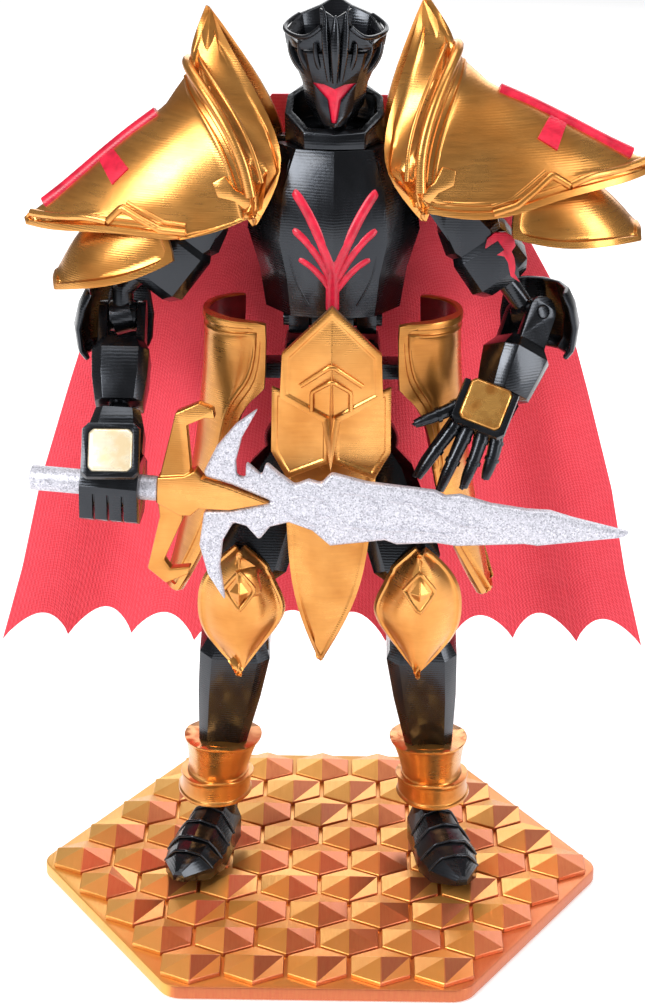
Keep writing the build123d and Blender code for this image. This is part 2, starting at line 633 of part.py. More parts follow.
def hand_left():
    """An open hand with spread fingers, and a peg into the forearm."""
    palm = skin([
        [(28.6, -8.6, 88.6), (29.6, -10.2, 86.6), (27.4, -11.2, 82.6), (20.4, -12.2, 84.6), (21.4, -10.6, 90.2)],
        [(28.4, -5.6, 86.6), (29.2, -7.0, 84.8), (26.8, -9.0, 82.0), (20.8, -9.8, 84.0), (22.2, -7.8, 88.2)],
    ])
    hand = palm + hand_frame(PLATE_L)
    fingers = (
        ((20.4, -11.0, 85.2), (17.8, -13.0, 82.2), (15.6, -14.2, 79.6), (14.0, -14.6, 76.8)),
        ((22.2, -11.4, 84.8), (20.4, -13.4, 81.2), (18.8, -14.6, 77.6), (17.6, -15.0, 74.6)),
        ((24.2, -11.2, 84.2), (23.4, -13.0, 80.8), (22.2, -14.2, 77.6), (21.2, -14.4, 74.8)),
        ((26.2, -10.6, 83.8), (26.0, -12.2, 80.8), (25.2, -13.0, 78.2), (24.6, -13.2, 76.0)),
        ((22.0, -10.6, 87.6), (19.0, -12.4, 86.6), (16.4, -13.4, 85.6), (13.8, -13.8, 84.8)),
    )
    for points in fingers:
        hand += finger(points, 1.15)
    hand -= wrist_face(WRIST_L, ELBOW_L)
    hand += wrist_peg(WRIST_L, ELBOW_L)
    return one(hand - plate_pocket(PLATE_L))


# ---------------------------------------------------------------- sword
def sword_place():
    """Placement with X along the sword from the grip's middle and Z across the blade."""
    x = Vector(*SWORD_DIR).normalized()
    z = (Vector(0, 0, 1) - x * x.Z).normalized()
    return Location(Plane(origin=Vector(*GRIP_CENTRE), x_dir=x, z_dir=z))


def sword_grip():
    return rod((-12.6, 0, 0), (6.9, 0, 0), GRIP_R).moved(sword_place())


def sword_guard():
    """The gold cross guard: two hooked arms and a pointed centre boss."""
    upper = [(7.2, 2.0), (8.0, 6.0), (9.4, 12.6), (12.8, 14.4), (15.0, 13.6), (15.3, 12.2), (13.8, 12.2),
             (11.1, 10.8), (11.9, 4.0), (11.6, 1.0)]
    lower = [(7.0, -1.6), (7.4, -4.2), (5.7, -12.8), (8.6, -15.0), (11.9, -13.2), (12.2, -12.0), (9.2, -12.6),
             (8.2, -11.2), (10.8, -4.6), (11.4, -1.0)]
    boss = [(6.9, 2.2), (11.0, 2.8), (12.6, 3.8), (13.6, 2.6), (18.0, 1.6), (24.0, -0.3), (18.0, -2.0),
            (13.4, -2.2), (12.2, -3.4), (10.6, -3.6), (6.9, -1.8)]
    guard = outline(upper, 2.0) + outline(lower, 2.0) + outline(boss, 3.0)
    return one(guard).moved(sword_place())


def sword_blade():
    """The silver blade: crescent horns at the root, spikes, waves and a long point."""
    edge = [
        (14.2, 1.4), (13.9, 3.6), (15.6, 7.6), (18.4, 11.4), (21.7, 14.2), (19.4, 9.4), (18.6, 5.6), (18.8, 3.2),
        (20.2, 3.0), (20.2, 5.6), (22.6, 3.6), (23.2, 5.8), (25.2, 4.2), (27.6, 2.6), (29.6, 3.6), (31.6, 3.2),
        (33.0, 5.0), (38.4, 4.0), (48.6, 3.6), (50.2, 2.9), (52.4, 3.3), (57.0, 2.3), (62.4, 1.9), (65.8, 2.0),
        (69.2, 1.2), (78.0, -0.3), (76.8, -1.1), (64.4, -3.6), (62.4, -3.5), (52.4, -4.8), (49.2, -4.6),
        (43.4, -5.4), (41.6, -4.9), (33.4, -6.6), (30.6, -4.4), (27.0, -3.4), (24.2, -4.4), (22.6, -6.7),
        (20.6, -4.6), (18.6, -4.2), (17.0, -7.4), (16.7, -11.6), (17.7, -17.2), (14.9, -13.0), (13.5, -8.4),
        (13.9, -4.6), (14.2, -1.4),
    ]
    blade = outline(edge, 1.8)
    blade -= outline([(6.0, 2.9), (13.7, 2.9), (18.0, 1.9), (24.4, -0.3), (18.0, -2.3), (6.0, -3.7)], 5.0)
    return one(blade).moved(sword_place())


# ---------------------------------------------------------------- hanging armour
def fauld_blade():
    """The long ridged plate that hangs between the legs, with the ears of its hinge."""
    rows = []
    for z, half, edge_y, ridge_y, lean in (
            (91.0, 6.6, -12.6, -15.4, 0.0), (80.0, 7.2, -13.2, -15.8, 0.0), (69.0, 6.6, -13.6, -16.0, -0.2),
            (58.0, 5.6, -13.8, -15.8, -0.5), (50.4, 2.7, -14.0, -15.2, -1.0), (45.6, 0.3, -13.9, -14.2, -1.3)):
        x = FIGURE_X + lean
        rows.append([(x - half, edge_y, z), (x - half * 0.5, (edge_y + ridge_y) / 2 - 0.3, z), (x, ridge_y, z),
                     (x + half * 0.5, (edge_y + ridge_y) / 2 - 0.3, z), (x + half, edge_y, z)])
    blade = plate(rows, WALL)
    x, y, z = FAULD_PIVOT
    for side in (-1, 1):
        near = x + side * 2.8
        ear = Solid.make_box(1.4, 4.6, 2.4, Plane((min(near, near + side * 1.4), -14.6, z - 1.2)))
        blade += ear
    blade += rod((x - 4.2, y, z), (x + 4.2, y, z), HANGER_R)
    return one(blade)


def fauld_upper():
    """The peaked plate in front, with a bevelled edge and a long centre spike."""
    half_outline = [(0, 104.6), (-7.4, 97.2), (-7.7, 90.4), (-1.4, 86.8), (0, 78.9)]
    points = [(FIGURE_X + px, pz) for px, pz in half_outline]
    points += [(FIGURE_X - px, pz) for px, pz in half_outline[-2:0:-1]]
    return outline(points, 1.4, -18.0)


def fauld_wings():
    """Two swept wings under the peaked plate."""
    wings = []
    for side in (-1, 1):
        points = [(0.25, 88.0), (8.9, 91.6), (9.0, 81.4), (6.6, 77.0), (0.25, 79.6)]
        wings.append(outline([(FIGURE_X + side * px, pz) for px, pz in points], 1.0, -16.7))
    return wings


def tasset_left():
    """Hip armour wrapped round the outside of the hip, with a long swept tail."""
    plan = (
        (98.6, (10.0, -8.2), (15.2, -7.6), (19.6, -4.2), (20.4, 1.0), (18.8, 5.8), (14.0, 8.4)),
        (88.0, (10.2, -8.4), (15.4, -7.8), (19.8, -4.2), (20.8, 1.0), (19.2, 6.0), (14.4, 8.6)),
        (84.6, (14.4, -8.0), (17.4, -7.0), (20.2, -3.8), (21.2, 1.0), (19.8, 6.0), (15.4, 8.6)),
        (76.0, (15.8, -7.8), (18.6, -6.4), (21.0, -3.2), (22.0, 1.2), (20.8, 6.0), (17.2, 8.4)),
        (64.0, (18.2, -6.6), (20.6, -5.0), (23.0, -2.0), (24.0, 1.6), (23.0, 5.4), (20.6, 7.4)),
        (52.0, (24.2, -2.6), (25.2, -1.6), (26.0, 0.2), (26.2, 1.8), (25.8, 3.4), (25.0, 4.6)),
    )
    rows = [[(FIGURE_X + px, py, line[0]) for px, py in line[1:]] for line in plan]
    wall = plate(rows, WALL)
    x, z = FIGURE_X + TASSET_OUT, TASSET_Z
    for side in (-1, 1):
        near = side * 2.3
        ear = Solid.make_box(8.4, 1.4, 2.4, Plane((x - 1.2, min(near, near + side * 1.4), z - 1.2)))
        wall += ear
    wall += rod((x, -3.7, z), (x, 3.7, z), HANGER_R)
    return one(wall)


# ---------------------------------------------------------------- legs
def thigh(side, knee):
    """Faceted thigh: a round hip knuckle above and the knee's knuckle below."""
    hip = (FIGURE_X + side * HIP_OUT, HIP_Y, HIP_Z)
    length = distance(hip, knee)
    leg = skin([
        octagon(1.0, 2.6, 2.8), octagon(5.0, 4.8, 4.8), octagon(13.0, 5.6, 5.4), octagon(length - 7.0, 5.4, 5.2),
        octagon(length - 5.2, 4.0, 4.2),
    ])
    leg += Solid.make_sphere(4.0, Plane((0, 0, 0)), -90, 90, 360)
    leg += rod((0, 0, length - 6.0), (0, 0, length), 1.6)
    leg = leg.moved(aim(hip, knee))
    leg += rod((knee[0] - 2.0, knee[1], knee[2]), (knee[0] + 2.0, knee[1], knee[2]), 2.6)
    leg -= rod((hip[0] - side * 5.2, hip[1], hip[2]), (hip[0] - side * 0.1, hip[1], hip[2]), PIN_R + PIN_FIT)
    return one(leg - knee_pin(knee, 5.0))


def knee_pin(knee, half=4.6):
    return rod((knee[0] - half, knee[1], knee[2]), (knee[0] + half, knee[1], knee[2]), PIN_R)


def shin(knee, ankle):
    """Boot leg from the knee's ears down into the ankle cuffs."""
    length = distance(knee, ankle)
    leg = skin([
        octagon(4.8, 4.2, 3.8), octagon(8.0, 5.6, 5.2), octagon(16.0, 5.0, 5.0),
        octagon(length - 8.0, 3.8, 3.8), octagon(length - 3.6, 3.2, 3.2),
    ])
    leg += rod((0, 0, length - 4.4), (0, 0, length), 1.6)
    leg = leg.moved(aim(knee, ankle))
    leg += ears(2.6, 4.4, 2.8, 7.4, "x").moved(aim(knee, (knee[0], ankle[1], ankle[2])))
    leg += Solid.make_sphere(2.3, Plane(ankle), -90, 90, 360)
    leg -= rod((knee[0] - 7, knee[1], knee[2]), (knee[0] + 7, knee[1], knee[2]), PIN_R + PIN_FIT)
    return one(leg)


def knee_guard(side, knee):
    """Pointed knee armour with a wing on the inner side, fixed to the thigh."""
    x, y, z = knee
    rows = []
    for dz, outer, inner, ridge in (
            (11.6, 0.8, 0.8, -7.6), (8.0, 4.6, 4.4, -8.6), (4.6, 6.6, 5.8, -9.0), (0.6, 6.9, 7.8, -8.8),
            (-3.2, 6.4, 5.6, -8.2), (-7.0, 3.6, 2.8, -7.6), (-9.6, 0.6, 0.6, -7.0)):
        fold = -5.9 if abs(dz) < 9 else -6.7
        rows.append([
            (x + side * outer, y + fold + 2.6, z + dz), (x + side * outer * 0.55, y + fold - 1.0, z + dz),
            (x, y + ridge, z + dz), (x - side * inner * 0.55, y + fold - 1.0, z + dz),
            (x - side * inner, y + fold + 2.6, z + dz),
        ])
    if side > 0:
        rows = [row[::-1] for row in rows]
    guard = plate(rows, 1.0)
    guard += rod((x, y - 8.0, z + 6.0), (x, y - 2.4, z + 7.4), 1.0)
    return one(guard - thigh(side, knee))


# height, half width, front, back and ridge of each section
CUFF_UPPER = ((17.6, 5.2, 5.6, 5.2, 1.0), (21.0, 5.4, 5.8, 5.4, 1.1), (24.6, 5.8, 6.2, 5.6, 1.2))
CUFF_LOWER = ((13.8, 6.3, 6.6, 5.4, 1.4), (15.4, 6.0, 6.3, 5.3, 1.2), (17.4, 5.7, 6.0, 5.2, 1.0))


def ankle_cuff(knee, ankle, sections):
    """One tier of the ankle cuff: a ring round the shin that rises to a ridge in front."""
    outer, inner = [], []
    for i, (z, half, front, back, keel) in enumerate(sections):
        t = (z - ankle[2]) / (knee[2] - ankle[2])
        x = ankle[0] + t * (knee[0] - ankle[0])
        y = ankle[1] + t * (knee[1] - ankle[1])
        outer.append(shield(z, half, front, back, keel, x, y))
        inner.append(shield(z + 0.5 * (i - 1), half - 1.0, front - 1.0, back - 1.0, keel, x, y))
    return one(skin(outer) - skin(inner))


def foot(side, ankle, yaw):
    """Pointed sabaton with a centre ridge; the ankle's ball sits in its socket."""
    rings = []
    for y, half, low, high in (
            (3.2, 2.6, 1.1, 6.6), (1.8, 3.3, 0.0, 8.6), (-4.6, 4.0, 0.0, 8.0), (-9.6, 4.7, 0.0, 6.6),
            (-14.0, 3.8, 0.2, 4.8), (-18.2, 0.9, 1.4, 3.2)):
        rings.append([
            (-half, y, SOLE_Z + low), (half, y, SOLE_Z + low), (half * 1.04, y, SOLE_Z + low + (high - low) * 0.45),
            (half * 0.55, y, SOLE_Z + low + (high - low) * 0.88), (0, y, SOLE_Z + high),
            (-half * 0.55, y, SOLE_Z + low + (high - low) * 0.88),
            (-half * 1.04, y, SOLE_Z + low + (high - low) * 0.45),
        ])
    shoe = skin(rings)
    place = Location((ankle[0], ankle[1], 0), (0, 0, yaw))
    shoe = shoe.moved(place)
    shoe += rod((ankle[0], ankle[1], SOLE_Z + 5.0), (ankle[0], ankle[1], ankle[2] - 0.6), 2.9)
    shoe -= Solid.make_sphere(2.3 + PIN_FIT, Plane(ankle), -90, 90, 360)
    return one(shoe)


# ---------------------------------------------------------------- cape
CAPE_Y = 10.2
HEM_Z = 31.8


def cape_middle(z):
    """The cape drifts a little to the figure's right on its way down."""
    return FIGURE_X - 1.4 * (129.6 - z) / 98.0


def cape():
    """The red cloth cape, hanging in shallow folds from behind the neck to a scalloped hem."""
    levels = (
        (129.6, 9.6, 0.2, 0.0), (125.0, 13.0, 1.0, 0.3), (118.0, 22.0, 1.8, 0.5), (108.0, 30.0, 2.8, 0.8),
        (95.0, 37.4, 4.6, 1.1), (80.0, 42.0, 6.8, 1.3), (62.0, 47.2, 9.6, 1.5), (46.0, 50.6, 12.0, 1.6),
    )
    columns = 13
    grid = []
    for z, half, back, fold in levels:
        row = []
        for i in range(columns):
            t = -1 + 2 * i / (columns - 1)
            row.append((cape_middle(z) + half * t, CAPE_Y + back + fold * cos(3 * pi * t), z))
        grid.append(row)
    hem = []
    for i in range(columns):
        t = -1 + 2 * i / (columns - 1)
        depth = HEM_Z if i % 2 == 0 else HEM_Z + 4.4
        hem.append((cape_middle(HEM_Z) + 54.4 * t, CAPE_Y + 13.0 + 1.6 * cos(3 * pi * t), depth))
    grid.append(hem)
    return plate([row[::-1] for row in grid], 0.7)


def cape_clasps(chest_back):
    """Two round clasps that pin the cape's top edge to the back of the chest."""
    studs = []
    for side in (-1, 1):
        x = FIGURE_X + side * 4.2
        studs.append(one(rod((x, 6.0, 122.6), (x, 9.6, 122.6), 1.4) - chest_back))
    return studs


# ---------------------------------------------------------------- the whole figure
def main():
    save("base_plate", base_plate())
    save("base_tiles", *base_tiles())
    save("pelvis_block", pelvis_block())
    save("abdomen_core", abdomen_core())
    save("chest_bend_pin", bend_pin())
    front, back, inlay = chest_solids()
    save("chest_front", front)
    save("chest_back", back)
    save("chest_vein_inlay", inlay)
    save("gorget", gorget())
    save("neck_post", neck_post())
    save("helmet", helmet())
    save("visor", visor())
    save("crown", crown())

    def left_of(shape):
        pivot = Location(PAULDRON_PIVOT)
        tilted = shape.moved(Location((-PAULDRON_PIVOT[0], 0, -PAULDRON_PIVOT[2])))
        tilted = tilted.moved(Location((0, 0, 0), (0, LEFT_LIFT, 0)))
        return mirrored(tilted.moved(pivot))

    pauldron = {
        "shell": one(pauldron_main() + pauldron_bar()), "collar": pauldron_collar(), "lower": pauldron_lower(),
        "band": pauldron_band(),
    }
    for name, solid in pauldron.items():
        save(f"pauldron_{name}_right", solid)
        save(f"pauldron_{name}_left", left_of(solid))

    sides = (
        ("right", -1, ELBOW_R, WRIST_R, KNEE_R, ANKLE_R, FOOT_YAW_R),
        ("left", 1, ELBOW_L, WRIST_L, KNEE_L, ANKLE_L, FOOT_YAW_L),
    )
    for name, side, elbow, wrist, knee, ankle, yaw in sides:
        save(f"shoulder_block_{name}", shoulder(side))
        save(f"upper_arm_{name}", upper_arm(side, elbow))
        save(f"elbow_pin_{name}", elbow_pin(side, elbow))
        save(f"elbow_guard_{name}", elbow_guard(side, elbow))
        save(f"forearm_{name}", forearm(side, elbow, wrist))
        save(f"thigh_{name}", thigh(side, knee))
        save(f"knee_pin_{name}", knee_pin(knee))
        save(f"knee_guard_{name}", knee_guard(side, knee))
        save(f"shin_{name}", shin(knee, ankle))
        save(f"ankle_cuff_upper_{name}", ankle_cuff(knee, ankle, CUFF_UPPER))
        save(f"ankle_cuff_lower_{name}", ankle_cuff(knee, ankle, CUFF_LOWER))
        save(f"foot_{name}", foot(side, ankle, yaw))
    save("hand_right", hand_right())
    save("hand_left", hand_left())
    save("hand_plate_right", hand_plate(PLATE_R))
    save("hand_plate_left", hand_plate(PLATE_L))
    save("sword_grip", sword_grip())
    save("sword_guard", sword_guard())
    save("sword_blade", sword_blade())
    save("fauld_blade", fauld_blade())
    save("fauld_upper", fauld_upper())
    save("fauld_wings", *fauld_wings())
    save("tasset_left", tasset_left())
    save("tasset_right", mirrored(tasset_left()))
    save("cape", cape())
    save("cape_clasps", *cape_clasps(back))


main()
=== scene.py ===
"""Looks for a jointed knight figure with a cloth cape, standing on a tiled hexagonal base."""
import json
import bpy
from math import cos, sin, pi, radians
from mathutils import Matrix, Vector


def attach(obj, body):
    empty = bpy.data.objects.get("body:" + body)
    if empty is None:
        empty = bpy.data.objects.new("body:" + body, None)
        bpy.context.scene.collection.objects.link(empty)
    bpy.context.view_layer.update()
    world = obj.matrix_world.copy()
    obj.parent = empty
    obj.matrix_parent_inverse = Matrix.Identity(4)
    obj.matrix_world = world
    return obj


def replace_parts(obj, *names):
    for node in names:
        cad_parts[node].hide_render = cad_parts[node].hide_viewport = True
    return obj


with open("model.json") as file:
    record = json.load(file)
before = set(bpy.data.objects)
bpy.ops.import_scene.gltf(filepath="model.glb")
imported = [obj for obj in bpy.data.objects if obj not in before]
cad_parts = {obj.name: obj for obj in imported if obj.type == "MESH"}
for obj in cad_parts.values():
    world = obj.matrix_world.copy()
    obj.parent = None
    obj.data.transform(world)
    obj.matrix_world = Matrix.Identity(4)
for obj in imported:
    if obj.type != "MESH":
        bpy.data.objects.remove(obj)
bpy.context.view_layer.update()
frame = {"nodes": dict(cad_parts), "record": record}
MM = 0.001
MID = 1.2        # mm: the figure stands this far to its left of the base's centre
BODY_OF = {node: body for body, nodes in frame["record"]["behaviour"]["bodies"].items() for node in nodes}


# ---------------------------------------------------------------- finishes
class Wire:
    """A value, colour or vector in a finish; sums on it add the nodes that work them out."""

    def __init__(self, finish, socket):
        self.finish, self.socket = finish, socket

    def maths(self, operation, first, second):
        return self.finish.node("ShaderNodeMath", {"operation": operation}, {0: first, 1: second})

    def __add__(self, other):
        return self.maths("ADD", self, other)

    def __radd__(self, other):
        return self.maths("ADD", other, self)

    def __sub__(self, other):
        return self.maths("SUBTRACT", self, other)

    def __rsub__(self, other):
        return self.maths("SUBTRACT", other, self)

    def __mul__(self, other):
        return self.maths("MULTIPLY", self, other)

    def __rmul__(self, other):
        return self.maths("MULTIPLY", other, self)


class Finish:
    """A material and the node graph behind it."""

    def __init__(self, name, **sockets):
        self.material = bpy.data.materials.new(name)
        self.material.use_nodes = True
        self.tree = self.material.node_tree
        self.shader = self.tree.nodes["Principled BSDF"]
        for socket, value in sockets.items():
            self.shader.inputs[socket.replace("_", " ")].default_value = value
        self.place = self.node("ShaderNodeTexCoord", {}, {}, "Object")

    def feed(self, socket, value):
        if isinstance(value, Wire):
            self.tree.links.new(value.socket, socket)
        elif isinstance(value, (tuple, list)) and len(value) == 3 and len(socket.default_value) == 4:
            socket.default_value = (*value, 1.0)
        else:
            socket.default_value = value

    def node(self, kind, settings=None, sockets=None, out=0):
        made = self.tree.nodes.new(kind)
        for setting, value in (settings or {}).items():
            if setting == "stops":
                ramp = made.color_ramp
                while len(ramp.elements) < len(value):
                    ramp.elements.new(0.5)
                for element, (position, colour) in zip(ramp.elements, value):
                    element.position, element.color = position, (*colour, 1.0)
            else:
                setattr(made, setting, value)
        for socket, value in (sockets or {}).items():
            self.feed(made.inputs[socket], value)
        return Wire(self, made.outputs[out])

    def scaled(self, x, y, z):
        return self.node("ShaderNodeMapping", {}, {"Vector": self.place, "Scale": (x, y, z)})

    def noise(self, scale, detail=3.0, where=None, roughness=0.5):
        return self.node("ShaderNodeTexNoise", {}, {
            "Vector": where or self.place, "Scale": scale, "Detail": detail, "Roughness": roughness})

    def cells(self, scale, out="Distance", where=None):
        return self.node("ShaderNodeTexVoronoi", {}, {"Vector": where or self.place, "Scale": scale}, out)

    def axis(self, name, where=None):
        return self.node("ShaderNodeSeparateXYZ", {}, {0: where or self.place}, name)

    def wave(self, value):
        return self.node("ShaderNodeMath", {"operation": "SINE"}, {0: value})

    def limit(self, value, low, high, to_low=0.0, to_high=1.0):
        return self.node("ShaderNodeMapRange", {"clamp": True}, {
            0: value, 1: low, 2: high, 3: to_low, 4: to_high})

    def mix(self, factor, first, second):
        return self.node("ShaderNodeMix", {"data_type": "RGBA"}, {0: factor, 6: first, 7: second}, 2)

    def ramp(self, value, *stops):
        return self.node("ShaderNodeValToRGB", {"stops": stops}, {0: value})

    def layers(self, pitch=0.36, wobble=0.25):
        """The height of the printer's layers, one ridge for every pitch in millimetres."""
        drift = self.noise(900.0, 2.0) * wobble
        return self.wave(self.axis("Z") * (2 * pi / (pitch * MM)) + drift * 6.0) * 0.5 + 0.5

    def bump(self, height, distance, strength=1.0):
        return self.node("ShaderNodeBump", {}, {
            "Height": height, "Distance": distance * MM, "Strength": strength})

    def set(self, **sockets):
        for socket, value in sockets.items():
            self.feed(self.shader.inputs[socket.replace("_", " ")], value)
        return self.material


def gold_silk(name, light=(0.83, 0.40, 0.105), deep=(0.54, 0.20, 0.035), rough=0.25):
    """Gold silk filament: metallic sheen, soft blotches and faint layers."""
    f = Finish(name, IOR=1.5, Coat_Roughness=0.18)
    blotch = f.limit(f.noise(95.0, 4.0), 0.36, 0.66)
    streak = f.noise(260.0, 2.0, f.scaled(1.0, 1.0, 9.0))
    height = f.layers(0.34) * 0.26 + f.noise(700.0, 3.0) * 0.6
    return f.set(
        Base_Color=f.mix(blotch * 0.7 + streak * 0.3, deep, light),
        Metallic=f.limit(streak, 0.3, 0.7, 0.82, 0.92),
        Roughness=f.limit(blotch + streak, 0.4, 1.5, rough + 0.1, rough),
        Coat_Weight=f.limit(blotch, 0, 1, 0.15, 0.35),
        Normal=f.bump(height, 0.045, 0.5))


COPPER_AND_SHEEN_SIDE = (0.80, -0.45, -0.05)      # facets that face this way are painted darker copper, the others gold: partly the filament's second colour, partly painted reflection of the silk


def tile_silk():
    """Silk filament on the base: facets facing one way are painted darker copper and the others gold, partly
    the filament's two colours and partly painted reflection.
    """
    f = Finish("two_colour_silk_painted_sheen", IOR=1.5, Coat_Roughness=0.2)
    facing = f.node("ShaderNodeTexCoord", {}, {}, "Normal")
    turned = f.node(
        "ShaderNodeVectorMath", {"operation": "DOT_PRODUCT"}, {0: facing, 1: COPPER_AND_SHEEN_SIDE}, "Value")
    # painted reflection: copper or gold by the way each facet faces, partly the filament's real second colour
    shade = f.limit(turned + f.noise(120.0) * 0.06, -0.14, 0.30)
    streak = f.noise(420.0, 2.0, f.scaled(8.0, 1.0, 1.0))
    colour = f.ramp(
        shade, (0.0, (0.90, 0.45, 0.085)), (0.40, (0.80, 0.32, 0.065)),
        (0.62, (0.64, 0.17, 0.05)), (1.0, (0.50, 0.105, 0.040)))
    return f.set(
        Base_Color=f.mix(streak * 0.22, colour, (0.95, 0.55, 0.22)),
        Metallic=f.limit(streak, 0.3, 0.7, 0.62, 0.78),
        Roughness=f.limit(streak, 0.3, 0.7, 0.30, 0.42),
        Coat_Weight=f.limit(shade, 0, 1, 0.16, 0.08),
        Normal=f.bump(streak + f.noise(1500.0) * 0.4, 0.05, 0.5))


def gloss_black():
    """Glossy black filament: layer lines, a few streaks and faint patches."""
    f = Finish("gloss_black", IOR=1.5, Coat_Roughness=0.10)
    f.shader.inputs["Specular Tint"].default_value = (0.80, 0.87, 1.0, 1.0)
    ridge = f.layers(0.42, 0.5)
    smear = f.noise(140.0, 5.0, f.scaled(1.0, 1.0, 0.35))
    grain = f.noise(1100.0, 3.0)
    patch = f.limit(smear, 0.40, 0.62)
    return f.set(
        Base_Color=f.mix(patch * 0.6 + grain * 0.25, (0.0015, 0.0015, 0.0018), (0.006, 0.0062, 0.0075)),
        Roughness=f.limit(patch + ridge * 0.25, 0.0, 1.3, 0.17, 0.34),
        Coat_Weight=f.limit(patch, 0, 1, 0.30, 0.1),
        Normal=f.bump(ridge * 0.35 + grain * 0.5 + smear * 2.6, 0.045, 0.5))


def glitter_silver():
    """Silver filament full of fine bright and dark flakes."""
    f = Finish("glitter_silver", IOR=1.5, Coat_Roughness=0.2)
    flake = f.cells(5200.0, "Color")
    tone = f.axis("X", flake)
    second = f.axis("Y", flake)
    dark = f.limit(tone, 0.74, 0.86)
    colour = f.mix(f.limit(second, 0.2, 0.9), (0.50, 0.50, 0.56), (0.74, 0.73, 0.80))
    colour = f.mix(dark * 0.5, colour, (0.12, 0.12, 0.17))
    return f.set(
        Base_Color=colour,
        Metallic=f.limit(second, 0.3, 1.0, 0.25, 0.6),
        Roughness=f.limit(second, 0, 1, 0.28, 0.5),
        Normal=f.bump(tone + f.noise(900.0) * 0.6, 0.05, 0.6))


def red_plastic(name="red_plastic", colour=(0.78, 0.012, 0.05)):
    """Red filament with fine grain and layers."""
    f = Finish(name, IOR=1.48, Coat_Roughness=0.2, Subsurface_Weight=0.0)
    grain = f.noise(500.0, 4.0)
    deep = tuple(c * 0.62 for c in colour)
    return f.set(
        Base_Color=f.mix(f.limit(grain, 0.35, 0.65), deep, colour),
        Roughness=f.limit(grain, 0.3, 0.7, 0.3, 0.46),
        Coat_Weight=f.limit(grain, 0.3, 0.7, 0.1, 0.25),
        Normal=f.bump(f.layers(0.34) * 0.6 + grain, 0.04, 0.5))


def mottled(name, deep, light, metallic):
    """The plates on the backs of the hands: brushed and mottled."""
    f = Finish(name, IOR=1.5, Coat_Roughness=0.15)
    cloud = f.limit(f.noise(420.0, 5.0), 0.38, 0.62)
    brush = f.noise(900.0, 3.0, f.scaled(0.4, 1.0, 2.2))
    return f.set(
        Base_Color=f.mix(cloud * 0.75 + brush * 0.2, deep, light),
        Metallic=f.limit(brush, 0.3, 0.7, metallic - 0.1, metallic),
        Roughness=f.limit(cloud, 0, 1, 0.34, 0.22),
        Coat_Weight=f.limit(cloud, 0, 1, 0.2, 0.5),
        Normal=f.bump(cloud + brush, 0.04, 0.5))


def cape_cloth():
    """Thin woven cloth: two sets of threads, slight slubs and a soft sheen."""
    f = Finish("cape_cloth", Sheen_Weight=0.35, Sheen_Roughness=0.4, Specular_IOR_Level=0.25)
    f.shader.inputs["Sheen Tint"].default_value = (1.0, 0.55, 0.6, 1.0)
    along = f.node("ShaderNodeTexCoord", {}, {}, "UV")
    across, down = f.axis("X", along), f.axis("Y", along)
    warp = f.wave(across * (2 * pi * 170)) * 0.5 + 0.5
    weft = f.wave(down * (2 * pi * 160)) * 0.5 + 0.5
    over = f.limit(f.wave((across * 170 + down * 160) * pi), -0.3, 0.3)
    thread = over * warp + (1.0 - over) * weft
    slub = f.noise(300.0, 4.0)
    tone = f.noise(22.0, 2.0)
    colour = f.mix(f.limit(thread * 0.7 + slub * 0.5, 0.25, 1.0), (0.90, 0.060, 0.088), (1.0, 0.105, 0.145))
    colour = f.mix(f.limit(tone, 0.4, 0.7) * 0.3, colour, (0.98, 0.10, 0.16))
    return f.set(
        Base_Color=colour,
        Roughness=f.limit(thread, 0, 1, 0.92, 0.78),
        Normal=f.bump(thread + slub * 0.4, 0.10, 0.6))


GOLD = gold_silk("gold_silk")
GOLD_DEEP = gold_silk("gold_silk_deep", (0.78, 0.37, 0.09), (0.46, 0.165, 0.028), 0.24)
TILES = tile_silk()
BLACK = gloss_black()
SILVER = glitter_silver()
RED = red_plastic()
# inner faces of the tassets: the filament's red side, made deeper as painted shade and painted reflection of
# the red cape
INNER_RED_REFLECTION_AND_SHADE = red_plastic("inner_red_reflection_and_shade", (0.42, 0.008, 0.016))
CREAM = mottled("cream_plate", (0.80, 0.62, 0.36), (0.98, 0.90, 0.70), 0.35)
COPPER = mottled("copper_plate", (0.40, 0.14, 0.02), (0.92, 0.48, 0.12), 0.8)
CLOTH = cape_cloth()


# ---------------------------------------------------------------- the maker's tools
def alone(piece):
    """Nothing selected but this piece."""
    bpy.ops.object.select_all(action="DESELECT")
    piece.select_set(True)
    bpy.context.view_layer.objects.active = piece


def edit(piece, kind="FACE"):
    alone(piece)
    bpy.ops.object.mode_set(mode="EDIT")
    bpy.ops.mesh.select_mode(type=kind)


def done():
    bpy.ops.object.mode_set(mode="OBJECT")


def cast(node, name=None):
    """A copy of a CAD node's mesh with its loose triangles merged into plain faces."""
    piece = bpy.data.objects.new(name or node + "_finished", frame["nodes"][node].data.copy())
    bpy.context.scene.collection.objects.link(piece)
    piece.data.materials.clear()
    edit(piece)
    bpy.ops.mesh.select_all(action="SELECT")
    bpy.ops.mesh.customdata_custom_splitnormals_clear()
    bpy.ops.mesh.remove_doubles(threshold=2e-6)
    bpy.ops.mesh.dissolve_limited(angle_limit=radians(1.2))
    bpy.ops.mesh.tris_convert_to_quads(face_threshold=radians(48), shape_threshold=radians(75))
    done()
    return piece


def smooth(piece, angle=32):
    alone(piece)
    bpy.ops.object.shade_smooth_by_angle(angle=radians(angle))


def modify(piece, kind, **settings):
    modifier = piece.modifiers.new(kind.lower(), kind)
    for setting, value in settings.items():
        setattr(modifier, setting, value)
    alone(piece)
    bpy.ops.object.modifier_apply(modifier=modifier.name)


def bevelled(piece, width, segments, angle):
    """Rounds off every edge that is sharper than an angle in degrees."""
    modify(piece, "BEVEL", width=width * MM, segments=segments, limit_method="ANGLE",
           angle_limit=radians(angle))


